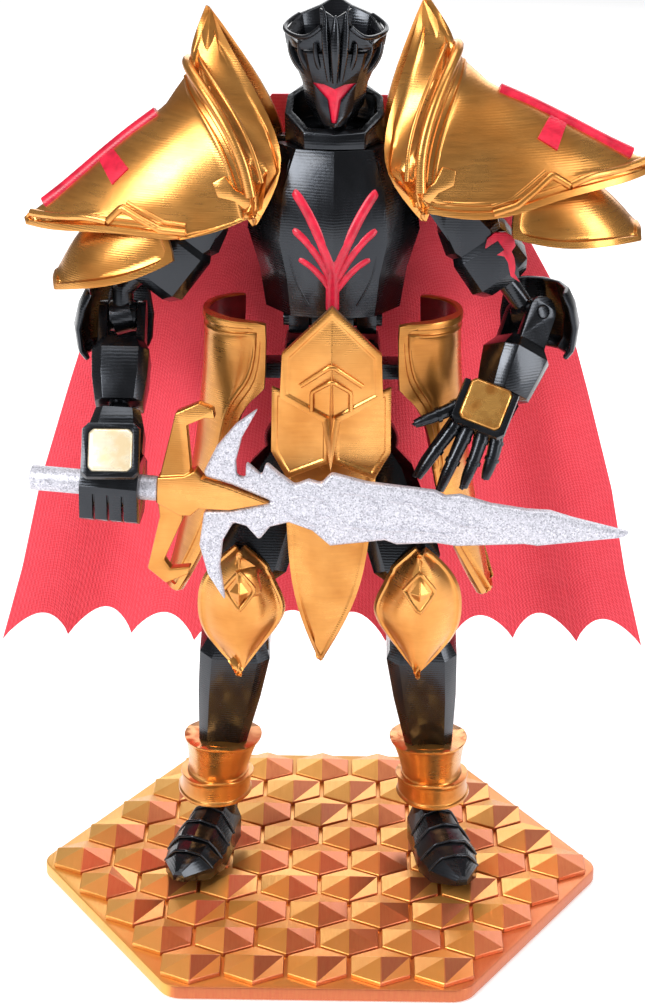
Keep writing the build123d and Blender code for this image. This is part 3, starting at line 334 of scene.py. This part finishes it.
def finished(node):
    """The finished piece that was cast from a CAD node."""
    return bpy.data.objects[f"{node}_finished"]


def mark_corners(piece, chosen):
    """Selects just the corners that chosen(corner) picks."""
    for group in (piece.data.edges, piece.data.polygons):
        for item in group:
            item.select = False
    for vertex in piece.data.vertices:
        vertex.select = chosen(vertex)


def mark(piece, chosen):
    """Selects just the faces that chosen(face) picks."""
    for group in (piece.data.vertices, piece.data.edges):
        for item in group:
            item.select = False
    for face in piece.data.polygons:
        face.select = chosen(face)


def wall_face(piece, core, side=1, thin=2.6):
    """Picks a plate's outer faces, or with side -1 its inner ones, by the wall close behind them."""
    core = Vector(core) * MM

    def chosen(face):
        behind = piece.ray_cast(face.center - face.normal * 5e-6, -face.normal, distance=thin * MM)[0]
        return bool(behind) and side * (face.center - core).dot(face.normal) > 0

    return chosen


def stepped(piece, steps, even=True):
    """Insets the marked faces again and again, each time by a width and up or down by a height."""
    edit(piece)
    for width, rise in steps:
        bpy.ops.mesh.inset(thickness=width * MM, depth=rise * MM, use_boundary=True, use_even_offset=even)
    done()


def rounded(piece, levels=2, sharp=48, crease=0.55):
    """Keeps the sharp edges fairly crisp and rounds the rest."""
    edit(piece, "EDGE")
    bpy.ops.mesh.select_all(action="DESELECT")
    bpy.ops.mesh.edges_select_sharp(sharpness=radians(sharp))
    bpy.ops.transform.edge_crease(value=crease)
    done()
    modify(piece, "SUBSURF", levels=levels, render_levels=levels)


def wear(piece, body, finish, slot):
    piece.data.materials.clear()
    piece.data.materials.append(finish)
    place(piece, body, slot)


def place(piece, body, slot, *nodes):
    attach(piece, body)
    if nodes:
        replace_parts(piece, *nodes)


def softened(node, finish, slot, width=0.3, angle=24, segments=2):
    """A black or red part: the CAD shape with its edges rounded off."""
    piece = cast(node)
    bevelled(piece, width, segments, angle)
    smooth(piece)
    piece.data.materials.append(finish)
    place(piece, BODY_OF[node], slot, node)
    return piece


def flared(piece, core, amount):
    """Opens a cuff's upper rim outwards, with a peak in front and a corner on each side."""
    heights = [vertex.co.z for vertex in piece.data.vertices]
    low, high = min(heights), max(heights)
    for vertex in piece.data.vertices:
        out = Vector((vertex.co.x - core[0] * MM, vertex.co.y - core[1] * MM, 0))
        way = out.normalized()
        rise = (vertex.co.z - low) / (high - low)
        front, corner = max(0.0, -way.y) ** 8, abs(way.x) ** 10
        vertex.co += out * amount * rise ** 2 * (1 + 0.8 * corner + 0.3 * front)
        vertex.co.z += (1.5 * front + 0.7 * corner) * rise ** 3 * MM


def armour(node, finish, core, steps, inside_red=None, levels=2, even=False, crease=0.55, flare=0.0):
    """A gold plate: a stepped rim worked into its outer face, then rounded all over."""
    piece = cast(node)
    if flare:
        flared(piece, core, flare)
    piece.data.materials.append(finish)
    # inner faces take the deep red: partly the filament's red, partly painted reflection of the red cape and
    # painted shade
    if inside_red:
        piece.data.materials.append(inside_red)
        inner = wall_face(piece, core, -1)
        for face in piece.data.polygons:
            face.material_index = 1 if inner(face) else 0
    mark(piece, wall_face(piece, core))
    stepped(piece, steps, even)
    rounded(piece, levels, crease=crease)
    smooth(piece, 40)
    place(piece, BODY_OF[node], "gold", node)
    return piece


def on_surface(piece, points, start=(0, -60), lift=0.0, toward=(0, 1, 0)):
    """Points (x, z) in mm thrown from the front onto a piece, raised by lift."""
    landed = []
    way = Vector(toward).normalized()
    for x, z in points:
        origin = Vector((x, start[1], z)) * MM
        hit, spot, normal, _ = piece.ray_cast(origin, way)
        if hit:
            landed.append(spot + normal * lift * MM)
    return landed


def bead(name, points, radius, body, finish, slot, radii=None, flat=1.0, order=3):
    """A rounded bar along points, made as a curve and turned into a mesh."""
    bpy.ops.object.select_all(action="DESELECT")
    bpy.ops.curve.primitive_nurbs_path_add(location=(0, 0, 0))
    bar = bpy.context.object
    bar.name = name
    curve = bar.data
    curve.splines.clear()
    spline = curve.splines.new("NURBS")
    spline.points.add(len(points) - 1)
    for i, spot in enumerate(points):
        spline.points[i].co = (*spot, 1.0)
        spline.points[i].radius = radii[i] if radii else 1.0
    spline.order_u = min(order, len(points))
    spline.use_endpoint_u = True
    spline.resolution_u = 6
    curve.bevel_depth = radius * MM
    curve.bevel_resolution = 3
    curve.use_fill_caps = True
    alone(bar)
    bpy.ops.object.convert(target="MESH")
    bar = bpy.context.object
    smooth(bar, 50)
    wear(bar, body, finish, slot)
    return bar


# ---------------------------------------------------------------- black parts, as printed
for node in ("pelvis_block", "abdomen_core", "chest_back", "gorget", "crown", "neck_post"):
    softened(node, BLACK, "black", 0.5 if node == "gorget" else 0.25)
chest = softened("chest_front", BLACK, "black", 0.35)
helmet = softened("helmet", BLACK, "black", 0.3)
softened("visor", RED, "red", 0.12)
LIMB_EDGE = {"shoulder_block": 0.2, "hand": 0.22}       # mm: rounding that differs from the other limbs' 0.4
for side in ("right", "left"):
    for part in ("shoulder_block", "forearm", "thigh", "shin", "foot", "elbow_guard", "upper_arm", "hand"):
        softened(f"{part}_{side}", BLACK, "black", LIMB_EDGE.get(part, 0.4))
softened("hand_plate_right", CREAM, "cream", 0.2)
softened("hand_plate_left", COPPER, "gold", 0.2)
for node in ("chest_bend_pin", "elbow_pin_right", "elbow_pin_left", "knee_pin_right", "knee_pin_left"):
    softened(node, BLACK, "black", 0.15)
softened("cape_clasps", GOLD, "gold", 0.2)
softened("base_plate", TILES, "base_gold", 0.3)
TILE_EDGE = (3.6, 3.9)      # mm: the heights between which the tiles' upper edges lie
TILE_DROP = 0.85            # mm: how far those edges sink, so that the facets are steeper
tiles = cast("base_tiles")
mark_corners(tiles, lambda corner: TILE_EDGE[0] < corner.co.z / MM < TILE_EDGE[1])
edit(tiles, "VERT")
bpy.ops.transform.translate(value=(0, 0, -TILE_DROP * MM))
done()
bevelled(tiles, 0.1, 1, 12)
smooth(tiles, 10)
tiles.data.materials.append(TILES)
place(tiles, "base", "base_gold", "base_tiles")

# ---------------------------------------------------------------- sword
blade = softened("sword_blade", SILVER, "silver", 0.6, 60, 3)
softened("sword_guard", GOLD, "gold", 0.45, 50, 3)
softened("sword_grip", SILVER, "silver", 0.3, 50, 2)

# ---------------------------------------------------------------- gold armour
RIM = ((1.05, 0.0), (0.22, -0.42), (0.7, 0.0), (0.18, 0.22), (0.35, 0.0), (0.18, -0.2))
THIN_RIM = ((0.8, 0.0), (0.2, -0.35))
for side, sign in (("right", -1), ("left", 1)):
    armour(f"pauldron_shell_{side}", GOLD, (sign * 25, 0, 110), RIM)
    armour(f"pauldron_collar_{side}", GOLD, (sign * 2, 30, 125), ((1.3, 0.0), (0.35, -0.45)))
    armour(f"pauldron_lower_{side}", GOLD_DEEP, (sign * 25, 0, 100), ((1.1, 0.0), (0.3, -0.5)))
    armour(f"tasset_{side}", GOLD_DEEP, (MID + sign * 12, 0, 75), RIM, INNER_RED_REFLECTION_AND_SHADE)
    knee = (-12.8, 4, 51) if sign < 0 else (15.2, 4, 51)
    armour(f"knee_guard_{side}", GOLD, knee, THIN_RIM)
    ankle = (-16.6, 3, 20) if sign < 0 else (17.9, 3, 20)
    for tier, flare in (("upper", 0.10), ("lower", 0.06)):
        armour(f"ankle_cuff_{tier}_{side}", GOLD, ankle, ((0.5, 0.0), (0.2, -0.25)), flare=flare)
armour("fauld_blade", GOLD_DEEP, (MID, 5, 70), THIN_RIM)


def ridged(node, lift, steps, finish):
    """A flat plate with a ridge down its middle and a stepped rim."""
    piece = cast(node)
    edit(piece, "VERT")
    bpy.ops.mesh.select_all(action="SELECT")
    bpy.ops.mesh.bisect(plane_co=(MID * MM, 0, 0), plane_no=(1, 0, 0))
    done()
    front = min(v.co.y for v in piece.data.vertices)
    mark_corners(piece, lambda corner: abs(corner.co.x - MID * MM) < 2e-5 and corner.co.y < front + 2e-5)
    edit(piece, "VERT")
    bpy.ops.transform.translate(value=(0, -lift * MM, 0))
    done()
    mark(piece, lambda face: face.normal.y < -0.6)
    stepped(piece, steps)
    bevelled(piece, 0.14, 2, 28)
    smooth(piece)
    piece.data.materials.append(finish)
    place(piece, BODY_OF[node], "gold", node)
    return piece


ridged("fauld_upper", 0.25, ((0.9, 0.0), (0.3, -0.35), (0.7, 0.0)), GOLD)


def bordered(node, picks, steps, finish, slot):
    """A flat plate whose marked faces sink behind a stepped border."""
    piece = cast(node)
    mark(piece, picks)
    stepped(piece, steps)
    bevelled(piece, 0.14, 2, 28)
    smooth(piece)
    piece.data.materials.append(finish)
    place(piece, BODY_OF[node], slot, node)
    return piece


bordered("fauld_wings", lambda face: face.normal.y < -0.8, ((0.75, 0.0), (0.25, -0.3)), GOLD, "gold")


# ---------------------------------------------------------------- raised details
def relief(name, piece, outline, rise, body, finish, slot, edge=0.08):
    """A flat raised shape: its outline laid on a piece's front, then pushed out and rounded."""
    bpy.ops.object.select_all(action="DESELECT")
    bpy.ops.mesh.primitive_circle_add(vertices=len(outline), radius=1 * MM, fill_type="NGON")
    badge = bpy.context.object
    badge.name = name
    spots = on_surface(piece, outline)
    normal = Vector((0, -1, 0))
    if len(spots) == len(outline):
        a, b, c = spots[0], spots[len(spots) // 3], spots[2 * len(spots) // 3]
        normal = (b - a).cross(c - a).normalized()
        normal = normal if normal.y < 0 else -normal
    else:
        hold = sum((spot.y for spot in spots)) / max(1, len(spots))
        spots = [Vector((x * MM, hold, z * MM)) for x, z in outline]
    for vertex, spot in zip(badge.data.vertices, spots):
        vertex.co = spot - normal * 0.25 * MM
    edit(badge)
    bpy.ops.mesh.select_all(action="SELECT")
    push = normal * (rise + 0.25) * MM
    bpy.ops.mesh.extrude_region_move(TRANSFORM_OT_translate={"value": tuple(push)})
    bpy.ops.mesh.select_all(action="SELECT")
    bpy.ops.mesh.normals_make_consistent(inside=False)
    done()
    bevelled(badge, edge, 2, 40)
    smooth(badge)
    wear(badge, body, finish, slot)
    return badge


DOWNWARD = Vector((0, 0.930, -0.3675))


def patch(name, piece, corners, body, finish, slot, lift=0.12, thick=0.3, cuts=8):
    """A thin skin that follows a piece's front between four corners."""
    bpy.ops.object.select_all(action="DESELECT")
    bpy.ops.mesh.primitive_grid_add(x_subdivisions=cuts, y_subdivisions=cuts, size=1.0)
    skin = bpy.context.object
    skin.name = name
    a, b, c, d = (Vector(corner) for corner in corners)
    for vertex in skin.data.vertices:
        u, v = vertex.co.x + 0.5, vertex.co.y + 0.5
        flat = (a * (1 - u) + b * u) * (1 - v) + (d * (1 - u) + c * u) * v
        spot = Vector((flat.x, -8.0, flat.y)) * MM
        hit, landed, normal, _ = piece.ray_cast(spot - DOWNWARD * 0.05, DOWNWARD)
        if not hit:
            _, landed, normal, _ = piece.closest_point_on_mesh(spot)
        vertex.co = landed + normal * lift * MM
    edit(skin)
    bpy.ops.mesh.select_all(action="SELECT")
    bpy.ops.mesh.normals_make_consistent(inside=False)
    done()
    modify(skin, "SOLIDIFY", thickness=thick * MM, offset=0.0)
    smooth(skin)
    wear(skin, body, finish, slot)
    return skin


PIVOT = Vector((MID - 8.6, 0, 122.6)) * MM
TO_LEFT = (
    Matrix.Translation((2 * MID * MM, 0, 0)) @ Matrix.Scale(-1, 4, (1, 0, 0))
    @ Matrix.Translation(PIVOT) @ Matrix.Rotation(radians(14), 4, "Y") @ Matrix.Translation(-PIVOT))


def twin(piece, name, body, slot, move=TO_LEFT):
    """The left hand copy of a right hand detail, with its faces turned the right way again."""
    other = bpy.data.objects.new(name, piece.data.copy())
    bpy.context.scene.collection.objects.link(other)
    other.data.transform(move)
    edit(other)
    bpy.ops.mesh.select_all(action="SELECT")
    bpy.ops.mesh.flip_normals()
    done()
    place(other, body, slot)
    return other


def arch(x_top, z_top, x_low, y_front, z_low, low=0, high=90, steps=10):
    """The front half of an arch over the shoulder, from its top down to its foot."""
    points = []
    for i in range(steps + 1):
        a = radians(low + (high - low) * i / steps)
        x = x_top + (x_low - x_top) * sin(a) ** 2
        points.append(Vector((x, -y_front * sin(a), z_low + (z_top - z_low) * cos(a))) * MM)
    return points


shell = finished("pauldron_shell_right")
ON_SHOULDER = ("pauldron_right", GOLD, "gold")
details = (
    bead("shoulder_ridge_right", arch(-20.9, 136.9, -10.8, 13.0, 117.6, -20, 84), 0.85, *ON_SHOULDER),
    bead("shoulder_ridge_fine_right", arch(-19.2, 137.8, -9.0, 13.2, 118.4, -10, 80), 0.35, *ON_SHOULDER),
    bead("shoulder_edge_outer_right", on_surface(shell, (
        (-44.6, 113.6), (-41.6, 113.7), (-38.4, 114.3), (-35.4, 114.9), (-32.6, 114.5))), 0.62, *ON_SHOULDER),
    bead("shoulder_edge_inner_right", on_surface(shell, (
        (-32.4, 114.5), (-30.2, 116.8), (-27.4, 115.4), (-24.2, 114.0), (-20.6, 113.9))),
        0.62, *ON_SHOULDER, order=2),
    bead("shoulder_edge_line_right", on_surface(shell, (
        (-29.4, 117.6), (-26.8, 116.5), (-23.8, 115.2), (-20.6, 115.0))), 0.34, *ON_SHOULDER, order=2),
    relief("shoulder_badge_right", shell, (
        (-16.6, 121.2), (-14.8, 122.2), (-13.2, 120.4), (-11.0, 119.4),
        (-10.6, 118.2), (-11.8, 117.5), (-13.4, 118.7), (-15.8, 119.2)), 0.35, *ON_SHOULDER, 0.14),
)
for detail in details:
    twin(detail, detail.name.replace("right", "left"), "pauldron_left", "gold")
band = []
for step in range(9):
    hit, spot, normal, _ = shell.ray_cast(Vector((-42.6 + 2.15 * step, -0.8, 170.0)) * MM, Vector((0, 0, -1)))
    if hit:
        band.append(spot - normal * 0.35 * MM)
band = bead("shoulder_band_right", band, 1.25, "pauldron_right", RED, "red")
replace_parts(band, "pauldron_band_right")
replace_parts(twin(band, "shoulder_band_left", "pauldron_left", "red"), "pauldron_band_left")
flag_corners = ((-33.9, 124.2), (-31.8, 126.0), (-29.3, 122.5), (-31.7, 120.0))
flag = patch("shoulder_flag_right", shell, flag_corners, "pauldron_right", RED, "red")
twin(flag, "shoulder_flag_left", "pauldron_left", "red")

# the chest's branching red inlay
BRANCHES = ((6.0, 119.6, 0.74), (6.0, 113.8, 0.56), (5.1, 109.2, 0.5))      # reach, tip's height, thickness
SEAM = ((6.6, 123.6), (7.6, 119.8), (7.5, 115.0), (6.6, 110.0), (5.6, 105.0), (3.6, 101.6))
for side, sign in (("right", -1), ("left", 1)):
    for rank, (reach, tip, width) in enumerate(BRANCHES):
        foot = 107.6 - 1.7 * rank
        line = [(MID + 0.2 + sign * (0.2 + reach * t), foot + (tip - foot) * t + (5.2 - rank) * t * (1 - t))
                for t in (0.0, 0.2, 0.4, 0.6, 0.8, 0.95, 1.0)]
        bead(f"chest_branch_{rank}_{side}", on_surface(chest, line, lift=-0.72 * width), width * 1.3,
             "chest", RED, "red", radii=[1.0, 1.05, 1.05, 1.0, 1.0, 0.95, 0.7])
    seam = on_surface(chest, [(MID + sign * x, z) for x, z in SEAM], lift=-0.08)
    bead(f"chest_seam_{side}", seam, 0.2, "chest", BLACK, "black")
line = on_surface(chest, [(MID + 0.15, z) for z in (101.2, 103.5, 106.0, 108.4, 110.0)], lift=-0.7)
stem = bead("chest_stem", line, 1.15, "chest", RED, "red", radii=[1.0, 1.0, 1.0, 0.9, 0.45])
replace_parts(stem, "chest_vein_inlay")

# ribs, horns, brim and peak of the helmet
for step in range(13):
    angle = radians(-150 + 25 * step)
    line = []
    for t in (0.0, 0.15, 0.35, 0.55, 0.75, 0.9, 1.0):
        turn = angle * (1 - 0.35 * t ** 2)
        reach = (6.6 + 0.35 * sin(pi * min(1, t + 0.15)) - 2.1 * t ** 2.2)
        line.append(Vector((MID + reach * sin(turn), -reach * 0.98 * cos(turn), 141.0 - 6.2 * t)) * MM)
    bead(f"helmet_rib_{step}", line, 0.46, "head", BLACK, "black",
         radii=[0.9, 1.0, 1.1, 1.1, 0.95, 0.7, 0.45])
HORN = ((0.9, -7.0, 135.6), (1.25, -7.5, 138.4), (1.45, -7.4, 141.2),
        (1.6, -7.2, 143.6), (1.45, -7.0, 145.4), (1.95, -6.9, 146.7))
BRIM = ((2.2, -6.9, 143.6), (3.4, -6.5, 142.3), (5.2, -5.0, 141.5),
        (7.6, -1.2, 141.7), (7.4, 2.0, 142.4), (5.5, 4.7, 143.0))
PEAK = ((-7.0, 135.4), (-7.7, 138.6), (-7.7, 141.6), (-7.4, 144.0), (-7.3, 145.4))
for side, sign in (("right", -1), ("left", 1)):
    horn = [Vector((MID + sign * x, y, z)) * MM for x, y, z in HORN]
    bead(f"helmet_horn_{side}", horn, 0.6, "head", BLACK, "black", radii=[0.5, 0.85, 0.95, 0.8, 0.5, 0.16])
for side, sign in (("right", -1), ("left", 1)):
    brim = [Vector((MID + sign * x, y, z)) * MM for x, y, z in BRIM]
    bead(f"helmet_brim_{side}", brim, 0.38, "head", BLACK, "black")
peak = [Vector((MID, y, z)) * MM for y, z in PEAK]
bead("helmet_peak", peak, 0.75, "head", BLACK, "black", radii=[0.6, 1.0, 1.05, 0.8, 0.2])

# front plate: inner chevrons
front_plate = finished("fauld_upper")
for name, line, thick in (
        ("outer", ((-4.6, 88.6), (-4.6, 92.4), (0, 96.0), (4.6, 92.4), (4.6, 88.6)), 0.42),
        ("inner", ((-2.9, 88.4), (-2.9, 91.4), (0, 93.7), (2.9, 91.4), (2.9, 88.4)), 0.36)):
    spots = on_surface(front_plate, [(MID + x, z) for x, z in line], lift=-0.05)
    bead(f"fauld_chevron_{name}", spots, thick, "fauld", GOLD, "gold", order=2)

# swirls on the blade, and plate lines over the feet
ALONG = Vector((89.0, -11.0, -3.0)).normalized()
GRIP = (-31.6, 75.9)        # mm: the middle of the fist, seen from the front
SWIRLS = (                  # mm: distance along the sword from the fist, and above its middle line
    ((27.0, 0.6), (30.0, 1.6), (33.0, 0.4), (33.6, -1.6), (31.4, -2.0), (31.2, -0.6)),
    ((34.5, 2.2), (38.0, 2.6), (41.0, 0.8), (39.6, -1.2), (37.6, -0.4), (38.8, 0.6)),
    ((41.5, 1.6), (45.0, 1.8), (49.0, 0.2), (52.5, -1.4), (55.5, -1.2)),
    ((26.0, -1.6), (28.4, -2.8), (31.0, -3.4)),
    ((36.0, -3.0), (41.0, -3.4), (46.0, -2.6), (51.0, -3.0)))
for rank, curl in enumerate(SWIRLS):
    flat = [(GRIP[0] + ALONG.x * s, GRIP[1] + ALONG.z * s + t) for s, t in curl]
    bead(f"blade_swirl_{rank}", on_surface(blade, flat, lift=-0.05), 0.24, "sword", SILVER, "silver")
FOOT_LINES = ((-3.6, 4.0, 8.15), (-7.2, 4.45, 7.3), (-10.8, 4.5, 6.15), (-13.6, 3.95, 4.95))
for side, x, yaw in (("right", -17.0, -18.0), ("left", 18.2, 15.0)):
    turn = Matrix.Translation(Vector((x, 3.5, 4.7)) * MM) @ Matrix.Rotation(radians(yaw), 4, "Z")
    for rank, (y, half, high) in enumerate(FOOT_LINES):
        line = [turn @ (Vector((half * w, y - (1 - abs(w)) * 0.9, high * h)) * MM) for w, h in (
            (-1.03, 0.42), (-0.80, 0.68), (-0.55, 0.89), (0, 1.01), (0.55, 0.89), (0.80, 0.68), (1.03, 0.42))]
        bead(f"foot_line_{rank}_{side}", line, 0.26, f"foot_{side}", BLACK, "black", order=2)

# barrels inside the elbows
for side, sign in (("right", -1), ("left", 1)):
    pin = frame["nodes"][f"elbow_pin_{side}"]
    spots = [pin.matrix_world @ vertex.co for vertex in pin.data.vertices]
    middle = sum(spots, Vector()) / len(spots)
    far = max(spots, key=lambda spot: (spot - middle).length)
    reach = (far - middle).normalized()
    reach = -reach if reach.x * sign > 0 else reach
    ends = (middle - reach * 1.6 * MM, middle + reach * 1.6 * MM)
    bead(f"elbow_barrel_{side}", ends, 2.7, f"upper_arm_{side}", BLACK, "black", order=2)

# knee diamonds, and the red swirl on the left upper arm
for side, x in (("right", -12.8), ("left", 15.2)):
    guard = finished(f"knee_guard_{side}")
    line = [(x - 2.4, 56.2), (x, 59.4), (x + 2.4, 56.2), (x, 53.0), (x - 2.4, 56.2)]
    spots = on_surface(guard, line)
    bead(f"knee_diamond_{side}", spots, 0.42, f"thigh_{side}", GOLD, "gold", order=2)
    hub = on_surface(guard, [(x, 56.2)])[0]
    bpy.ops.object.select_all(action="DESELECT")
    bpy.ops.mesh.primitive_cone_add(
        vertices=4, radius1=2.0 * MM, radius2=0.0, depth=1.1 * MM, location=hub - Vector((0, 0.1 * MM, 0)),
        rotation=(radians(90), 0, 0), scale=(0.8, 1.15, 1))
    gem = bpy.context.object
    gem.name = f"knee_gem_{side}"
    alone(gem)
    bpy.ops.object.transform_apply(location=True, rotation=True, scale=True)
    modify(gem, "BEVEL", width=0.12 * MM, segments=2)
    wear(gem, f"thigh_{side}", GOLD, "gold")
FINGERS = (
    ((21.2, -11.2, 86.2), (19.6, -12.2, 83.6), (17.4, -13.6, 81.0), (15.4, -14.6, 78.4), (14.4, -14.8, 76.6)),
    ((22.8, -11.6, 85.6), (21.4, -12.8, 82.6), (19.8, -14.2, 79.4), (18.4, -15.0, 76.4), (17.8, -15.0, 74.6)),
    ((24.6, -11.4, 85.0), (24.0, -12.6, 82.2), (22.9, -14.0, 79.2), (21.8, -14.6, 76.6), (21.4, -14.6, 75.0)),
    ((26.4, -10.8, 84.4), (26.3, -12.0, 81.6), (25.7, -13.0, 79.2), (25.0, -13.4, 77.2), (24.7, -13.4, 76.0)),
    ((22.4, -10.8, 88.0), (20.2, -12.0, 87.2), (17.6, -13.2, 86.2), (15.2, -13.8, 85.4), (13.8, -14.0, 84.9)))
for rank, points in enumerate(FINGERS):
    spots = [Vector(point) * MM for point in points]
    bead(f"finger_{rank}_left", spots, 1.02, "hand_left", BLACK, "black", radii=[1.1, 1.1, 0.98, 0.9, 0.62])
    for knuckle in (1, 2):
        between = spots[knuckle], spots[knuckle] + (spots[knuckle + 1] - spots[knuckle]) * 0.22
        bead(f"knuckle_{rank}_{knuckle}_left", between, 1.22, "hand_left", BLACK, "black", order=2)
swirl = (
    (24.0, 110.0), (24.3, 111.4), (25.4, 112.4), (27.0, 112.5), (28.3, 111.7), (28.6, 110.4),
    (28.0, 109.5), (28.5, 108.4), (28.7, 107.0), (28.6, 106.0), (29.4, 104.7), (28.0, 105.6),
    (27.7, 106.8), (27.5, 107.8), (26.9, 108.7), (25.6, 108.9), (24.5, 109.2))
relief("arm_swirl_left", finished("upper_arm_left"), swirl, 0.3, "upper_arm_left", RED, "red")


# ---------------------------------------------------------------- cape
LEVELS = (      # mm: height, half width, distance back from the clasps, depth of the folds
    (129.6, 9.6, 0.2, 0.0), (125.0, 13.0, 1.0, 0.3), (118.0, 22.0, 1.8, 0.5),
    (108.0, 30.0, 2.8, 0.8), (95.0, 37.4, 4.6, 1.1), (80.0, 42.0, 6.8, 1.3),
    (62.0, 47.2, 9.6, 1.5), (46.0, 50.6, 12.0, 1.6), (31.8, 54.4, 13.0, 1.6))
CAPE_TOP, CAPE_END = 129.4, 32.4        # mm: heights of the top edge and of the hem's points
SCALLOP = 4.8                           # mm: how far the hem rises between its points
CLASP_Y = 10.2 + 0.35                   # mm: the plane in which the cape is held
DRIFT, DROP = 1.4, 98.0                 # mm: the cape's middle moves this far sideways over this drop


def cape_level(height):
    """Half width, distance back and fold depth at a height."""
    for above, below in zip(LEVELS, LEVELS[1:]):
        if height >= below[0]:
            t = (above[0] - height) / (above[0] - below[0])
            return [a + (b - a) * t for a, b in zip(above[1:], below[1:])]
    return list(LEVELS[-1][1:])


def hung_cape():
    """One curved sheet from the clasps to a scalloped hem, with folds that deepen on the way down."""
    bpy.ops.object.select_all(action="DESELECT")
    bpy.ops.mesh.primitive_grid_add(x_subdivisions=140, y_subdivisions=90, size=1.0)
    cape = bpy.context.object
    cape.name = "cape_cloth"
    for vertex in cape.data.vertices:
        t, down = vertex.co.x * 2, 0.5 - vertex.co.y
        hem = CAPE_END + SCALLOP * abs(sin(5 * pi * (t + 1))) ** 0.8
        height = CAPE_TOP + (hem - CAPE_TOP) * down
        half, back, fold = cape_level(height)
        soft = 0.25 * down * sin(11 * t + 3 * down) + 0.18 * down * sin(23 * t - 1.5)
        sideways = MID - DRIFT * (LEVELS[0][0] - height) / DROP + half * t * 0.995
        vertex.co = Vector((sideways, CLASP_Y + back + fold * cos(3 * pi * t) + soft, height)) * MM
    modify(cape, "SOLIDIFY", thickness=0.3 * MM, offset=0.0)
    smooth(cape, 60)
    wear(cape, "cape", CLOTH, "cape_cloth")
    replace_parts(cape, "cape")


hung_cape()


# ---------------------------------------------------------------- stage, light and camera
def matte(name, colour):
    """A pale backdrop that glows a little, so that it stays even."""
    f = Finish(name, IOR=1.4)
    grain = f.noise(60.0)
    f.shader.inputs["Emission Color"].default_value = (1.0, 1.0, 1.0, 1.0)
    f.shader.inputs["Emission Strength"].default_value = 0.42
    return f.set(
        Base_Color=f.mix(grain * 0.1, colour, tuple(c * 0.97 for c in colour)),
        Roughness=f.limit(grain, 0, 1, 0.7, 0.8))


bpy.ops.object.select_all(action="DESELECT")
bpy.ops.mesh.primitive_plane_add(size=3.0, location=(0, 0.4, -0.0002))
floor = bpy.context.object
floor.name = "floor"
floor.data.materials.append(matte("pale_floor", (0.93, 0.93, 0.94)))


def softbox(name, spot, size, power, target=Vector((0, 0, 0.08))):
    """A rectangular lamp that looks at the figure."""
    light = bpy.data.lights.new(name, "AREA")
    light.shape = "RECTANGLE"
    light.size, light.size_y = size
    light.energy = power
    lamp = bpy.data.objects.new(name, light)
    bpy.context.scene.collection.objects.link(lamp)
    lamp.location = spot
    lamp.rotation_mode = "QUATERNION"
    lamp.rotation_quaternion = (target - Vector(spot)).to_track_quat("-Z", "Y")


softbox("key_left", (-0.42, -0.42, 0.50), (0.26, 0.42), 4.2)
softbox("fill_right", (0.55, -0.30, 0.28), (0.22, 0.5), 2.2)
softbox("overhead", (0.0, 0.05, 0.75), (0.5, 0.5), 2.6, Vector((0, 0, 0.05)))
softbox("behind", (0.1, 0.6, 0.35), (0.7, 0.4), 2.0)
world = bpy.data.worlds.new("studio")
bpy.context.scene.world = world
world.use_nodes = True
world.node_tree.nodes["Background"].inputs["Color"].default_value = (1.0, 1.0, 1.0, 1.0)
world.node_tree.nodes["Background"].inputs["Strength"].default_value = 0.17

# the camera stands in front and looks down a little
yaw, pitch, roll = radians(-0.45), radians(21.56), radians(0.53)
forward = Vector((sin(yaw) * cos(pitch), cos(yaw) * cos(pitch), -sin(pitch)))
right = Vector((cos(yaw), -sin(yaw), 0))
up = right.cross(forward)
across = right * cos(roll) + up * sin(roll)
upward = up * cos(roll) - right * sin(roll)
camera_data = bpy.data.cameras.new("camera")
camera_data.sensor_width = 36.0
camera_data.lens = 103.4
camera_data.clip_start = 0.01
camera = bpy.data.objects.new("camera", camera_data)
bpy.context.scene.collection.objects.link(camera)
turn = Matrix((across, upward, -forward)).transposed().to_4x4()
camera.matrix_world = Matrix.Translation((0.0032, -0.4228, 0.2336)) @ turn
bpy.context.scene.camera = camera
bpy.context.scene.view_settings.view_transform = "Standard"
